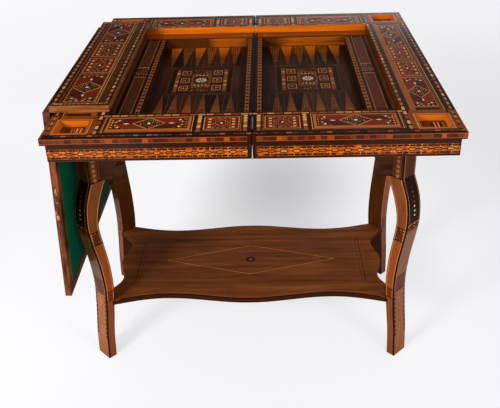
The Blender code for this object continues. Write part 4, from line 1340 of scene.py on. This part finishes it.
def studio_sky(stage):
    """Even white light all round; polished pieces see it dark but for a window low at the back right."""
    world = bpy.data.worlds.new("studio_sky")
    world.use_nodes = True
    sky = Nodes(world.node_tree)
    x, y, z = sky.axes(sky.node("ShaderNodeTexCoord").outputs["Generated"])
    seen, mirrored = sky.rays()
    low = ((0.298 - z) / 0.032).most(0.0).least(1.0)
    right = (x * 3.0 + 0.45).most(0.1).least(1.0) * (1.75 - x * 3.6).most(0.2).least(1.0)
    window = low * right * (y > 0.0)
    level = sky.either(mirrored, stage.sky, stage.sky_dark + window * stage.window)
    level = sky.either(seen, level, stage.sky_seen)
    background = sky.tree.nodes["Background"]
    plug(sky.tree, background.inputs["Color"], (1, 1, 1))
    plug(sky.tree, background.inputs["Strength"], level)
    bpy.context.scene.world = world


def sight(yaw, pitch, roll):
    """Camera axes from yaw to the right, pitch down and roll: right, up and back as columns."""
    ahead = Vector((math.sin(yaw) * math.cos(pitch), math.cos(yaw) * math.cos(pitch), -math.sin(pitch)))
    right = Vector((math.cos(yaw), -math.sin(yaw), 0))
    above = right.cross(ahead)
    turned = right * math.cos(roll) + above * math.sin(roll)
    upright = above * math.cos(roll) - right * math.sin(roll)
    return Matrix((turned, upright, -ahead)).transposed().to_4x4()


def lamp(name, place, power):
    """Large square lamp aimed at the table: it lights the wood and isn't mirrored in the varnish."""
    light = bpy.data.lights.new(name, "AREA")
    light.size = LAMP_SIZE
    light.energy = power
    holder = bpy.data.objects.new(name, light)
    holder.location = place
    holder.rotation_euler = (Vector(LAMP_TARGET) - Vector(place)).to_track_quat("-Z", "Y").to_euler()
    holder.visible_glossy = False
    bpy.context.scene.collection.objects.link(holder)


class TABLE_OT_stage(bpy.types.Operator):
    """Set up the camera, the pale floor and the soft light"""

    bl_idname = "table.stage"
    bl_label = "Stage"

    def execute(self, context):
        scene, stage = context.scene, context.scene.table_stage
        camera = bpy.data.cameras.new("camera")
        camera.lens = stage.lens
        camera.clip_end = 50
        holder = bpy.data.objects.new("camera", camera)
        holder.matrix_world = Matrix.Translation(stage.eye) @ sight(stage.yaw, stage.pitch, stage.roll)
        scene.collection.objects.link(holder)
        scene.camera = holder
        scene.view_settings.view_transform = "Standard"
        studio_sky(stage)
        studio_floor(tuple(stage.floor))
        for name, (place, share) in LAMPS.items():
            lamp(name, place, stage.key * share)
        return {"FINISHED"}


class TABLE_OT_case(bpy.types.Operator):
    """Inlay the rails, wells, ledges, panels, bars and fields of the folding case"""

    bl_idname = "table.case"
    bl_label = "Case marquetry"

    def execute(self, context):
        finishes = ((("front_rail", "back_rail", "side_rail"), case_finish),
                    (("front_well", "back_well"), well_finish),
                    (("front_ledge", "back_ledge"), ledge_finish),
                    (("side_panel",), side_panel_finish),
                    (("centre_bar",), centre_bar_finish),
                    (("field",), field_finish))
        for pieces, finish in finishes:
            dress([f"{half}_{piece}" for half in ("bed", "leaf") for piece in pieces], finish())
        dress(["bed_bottom", "leaf_bottom", "pivot_rail"], plain_wood_finish())
        return {"FINISHED"}


class TABLE_OT_board(bpy.types.Operator):
    """Inlay the two leaves of the cover board and lay their baize"""

    bl_idname = "table.board"
    bl_label = "Cover board"

    def execute(self, context):
        dress(["board_narrow_leaf"], narrow_leaf_finish())
        dress(["board_wide_leaf"], wide_leaf_finish())
        cloth = baize_finish()
        for leaf in ("narrow", "wide"):
            baize_piece(leaf, cloth)
        return {"FINISHED"}


class TABLE_OT_base(bpy.types.Operator):
    """Veneer the legs, aprons, brackets and shelf"""

    bl_idname = "table.base"
    bl_label = "Base veneers"

    def execute(self, context):
        sides, ends = ("left", "right"), ("front", "back")
        corners = [(end, side) for end in ends for side in sides]
        dress([f"leg_{end}_{side}" for end, side in corners], leg_finish())
        aprons = [f"apron_{place}" for place in (*ends, *sides)]
        brackets = [f"bracket_{end}_{side}" for end, side in corners]
        brackets += [f"bracket_{side}_{end}" for end, side in corners]
        dress(aprons + brackets, apron_finish())
        dress(["shelf"], shelf_finish())
        return {"FINISHED"}


class TABLE_OT_metal(bpy.types.Operator):
    """Finish the hinges and the pivot, and set the hinge screws"""

    bl_idname = "table.metal"
    bl_label = "Hinges and pivot"

    def execute(self, context):
        metal = metal_finish()
        hinges = [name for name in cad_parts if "hinge" in name]
        dress([*hinges, "pivot_bolt", "pivot_washer", "pivot_nut"], metal)
        hinge_screws(metal)
        return {"FINISHED"}


class TABLE_PT_finish(bpy.types.Panel):
    """Steps of the table's finish"""

    bl_label = "Table"
    bl_idname = "TABLE_PT_finish"
    bl_space_type = "VIEW_3D"
    bl_region_type = "UI"
    bl_category = "Table"

    def draw(self, context):
        for step in STEPS:
            self.layout.operator(step.bl_idname)
        for group in (context.scene.table_woods, context.scene.table_inlay, context.scene.table_stage):
            for key in group.__annotations__:
                self.layout.prop(group, key)


STEPS = (TABLE_OT_stage, TABLE_OT_case, TABLE_OT_board, TABLE_OT_base, TABLE_OT_metal)
CLASSES = (TableWoods, TableInlay, TableStage, *STEPS, TABLE_PT_finish)


def register():
    for cls in CLASSES:
        bpy.utils.register_class(cls)
    bpy.types.Scene.table_woods = PointerProperty(type=TableWoods)
    bpy.types.Scene.table_inlay = PointerProperty(type=TableInlay)
    bpy.types.Scene.table_stage = PointerProperty(type=TableStage)


def unregister():
    for name in ("table_woods", "table_inlay", "table_stage"):
        delattr(bpy.types.Scene, name)
    for cls in reversed(CLASSES):
        bpy.utils.unregister_class(cls)


def main():
    register()
    bpy.ops.table.stage()
    bpy.ops.table.case()
    bpy.ops.table.board()
    bpy.ops.table.base()
    bpy.ops.table.metal()


if __name__ == "__main__":
    main()
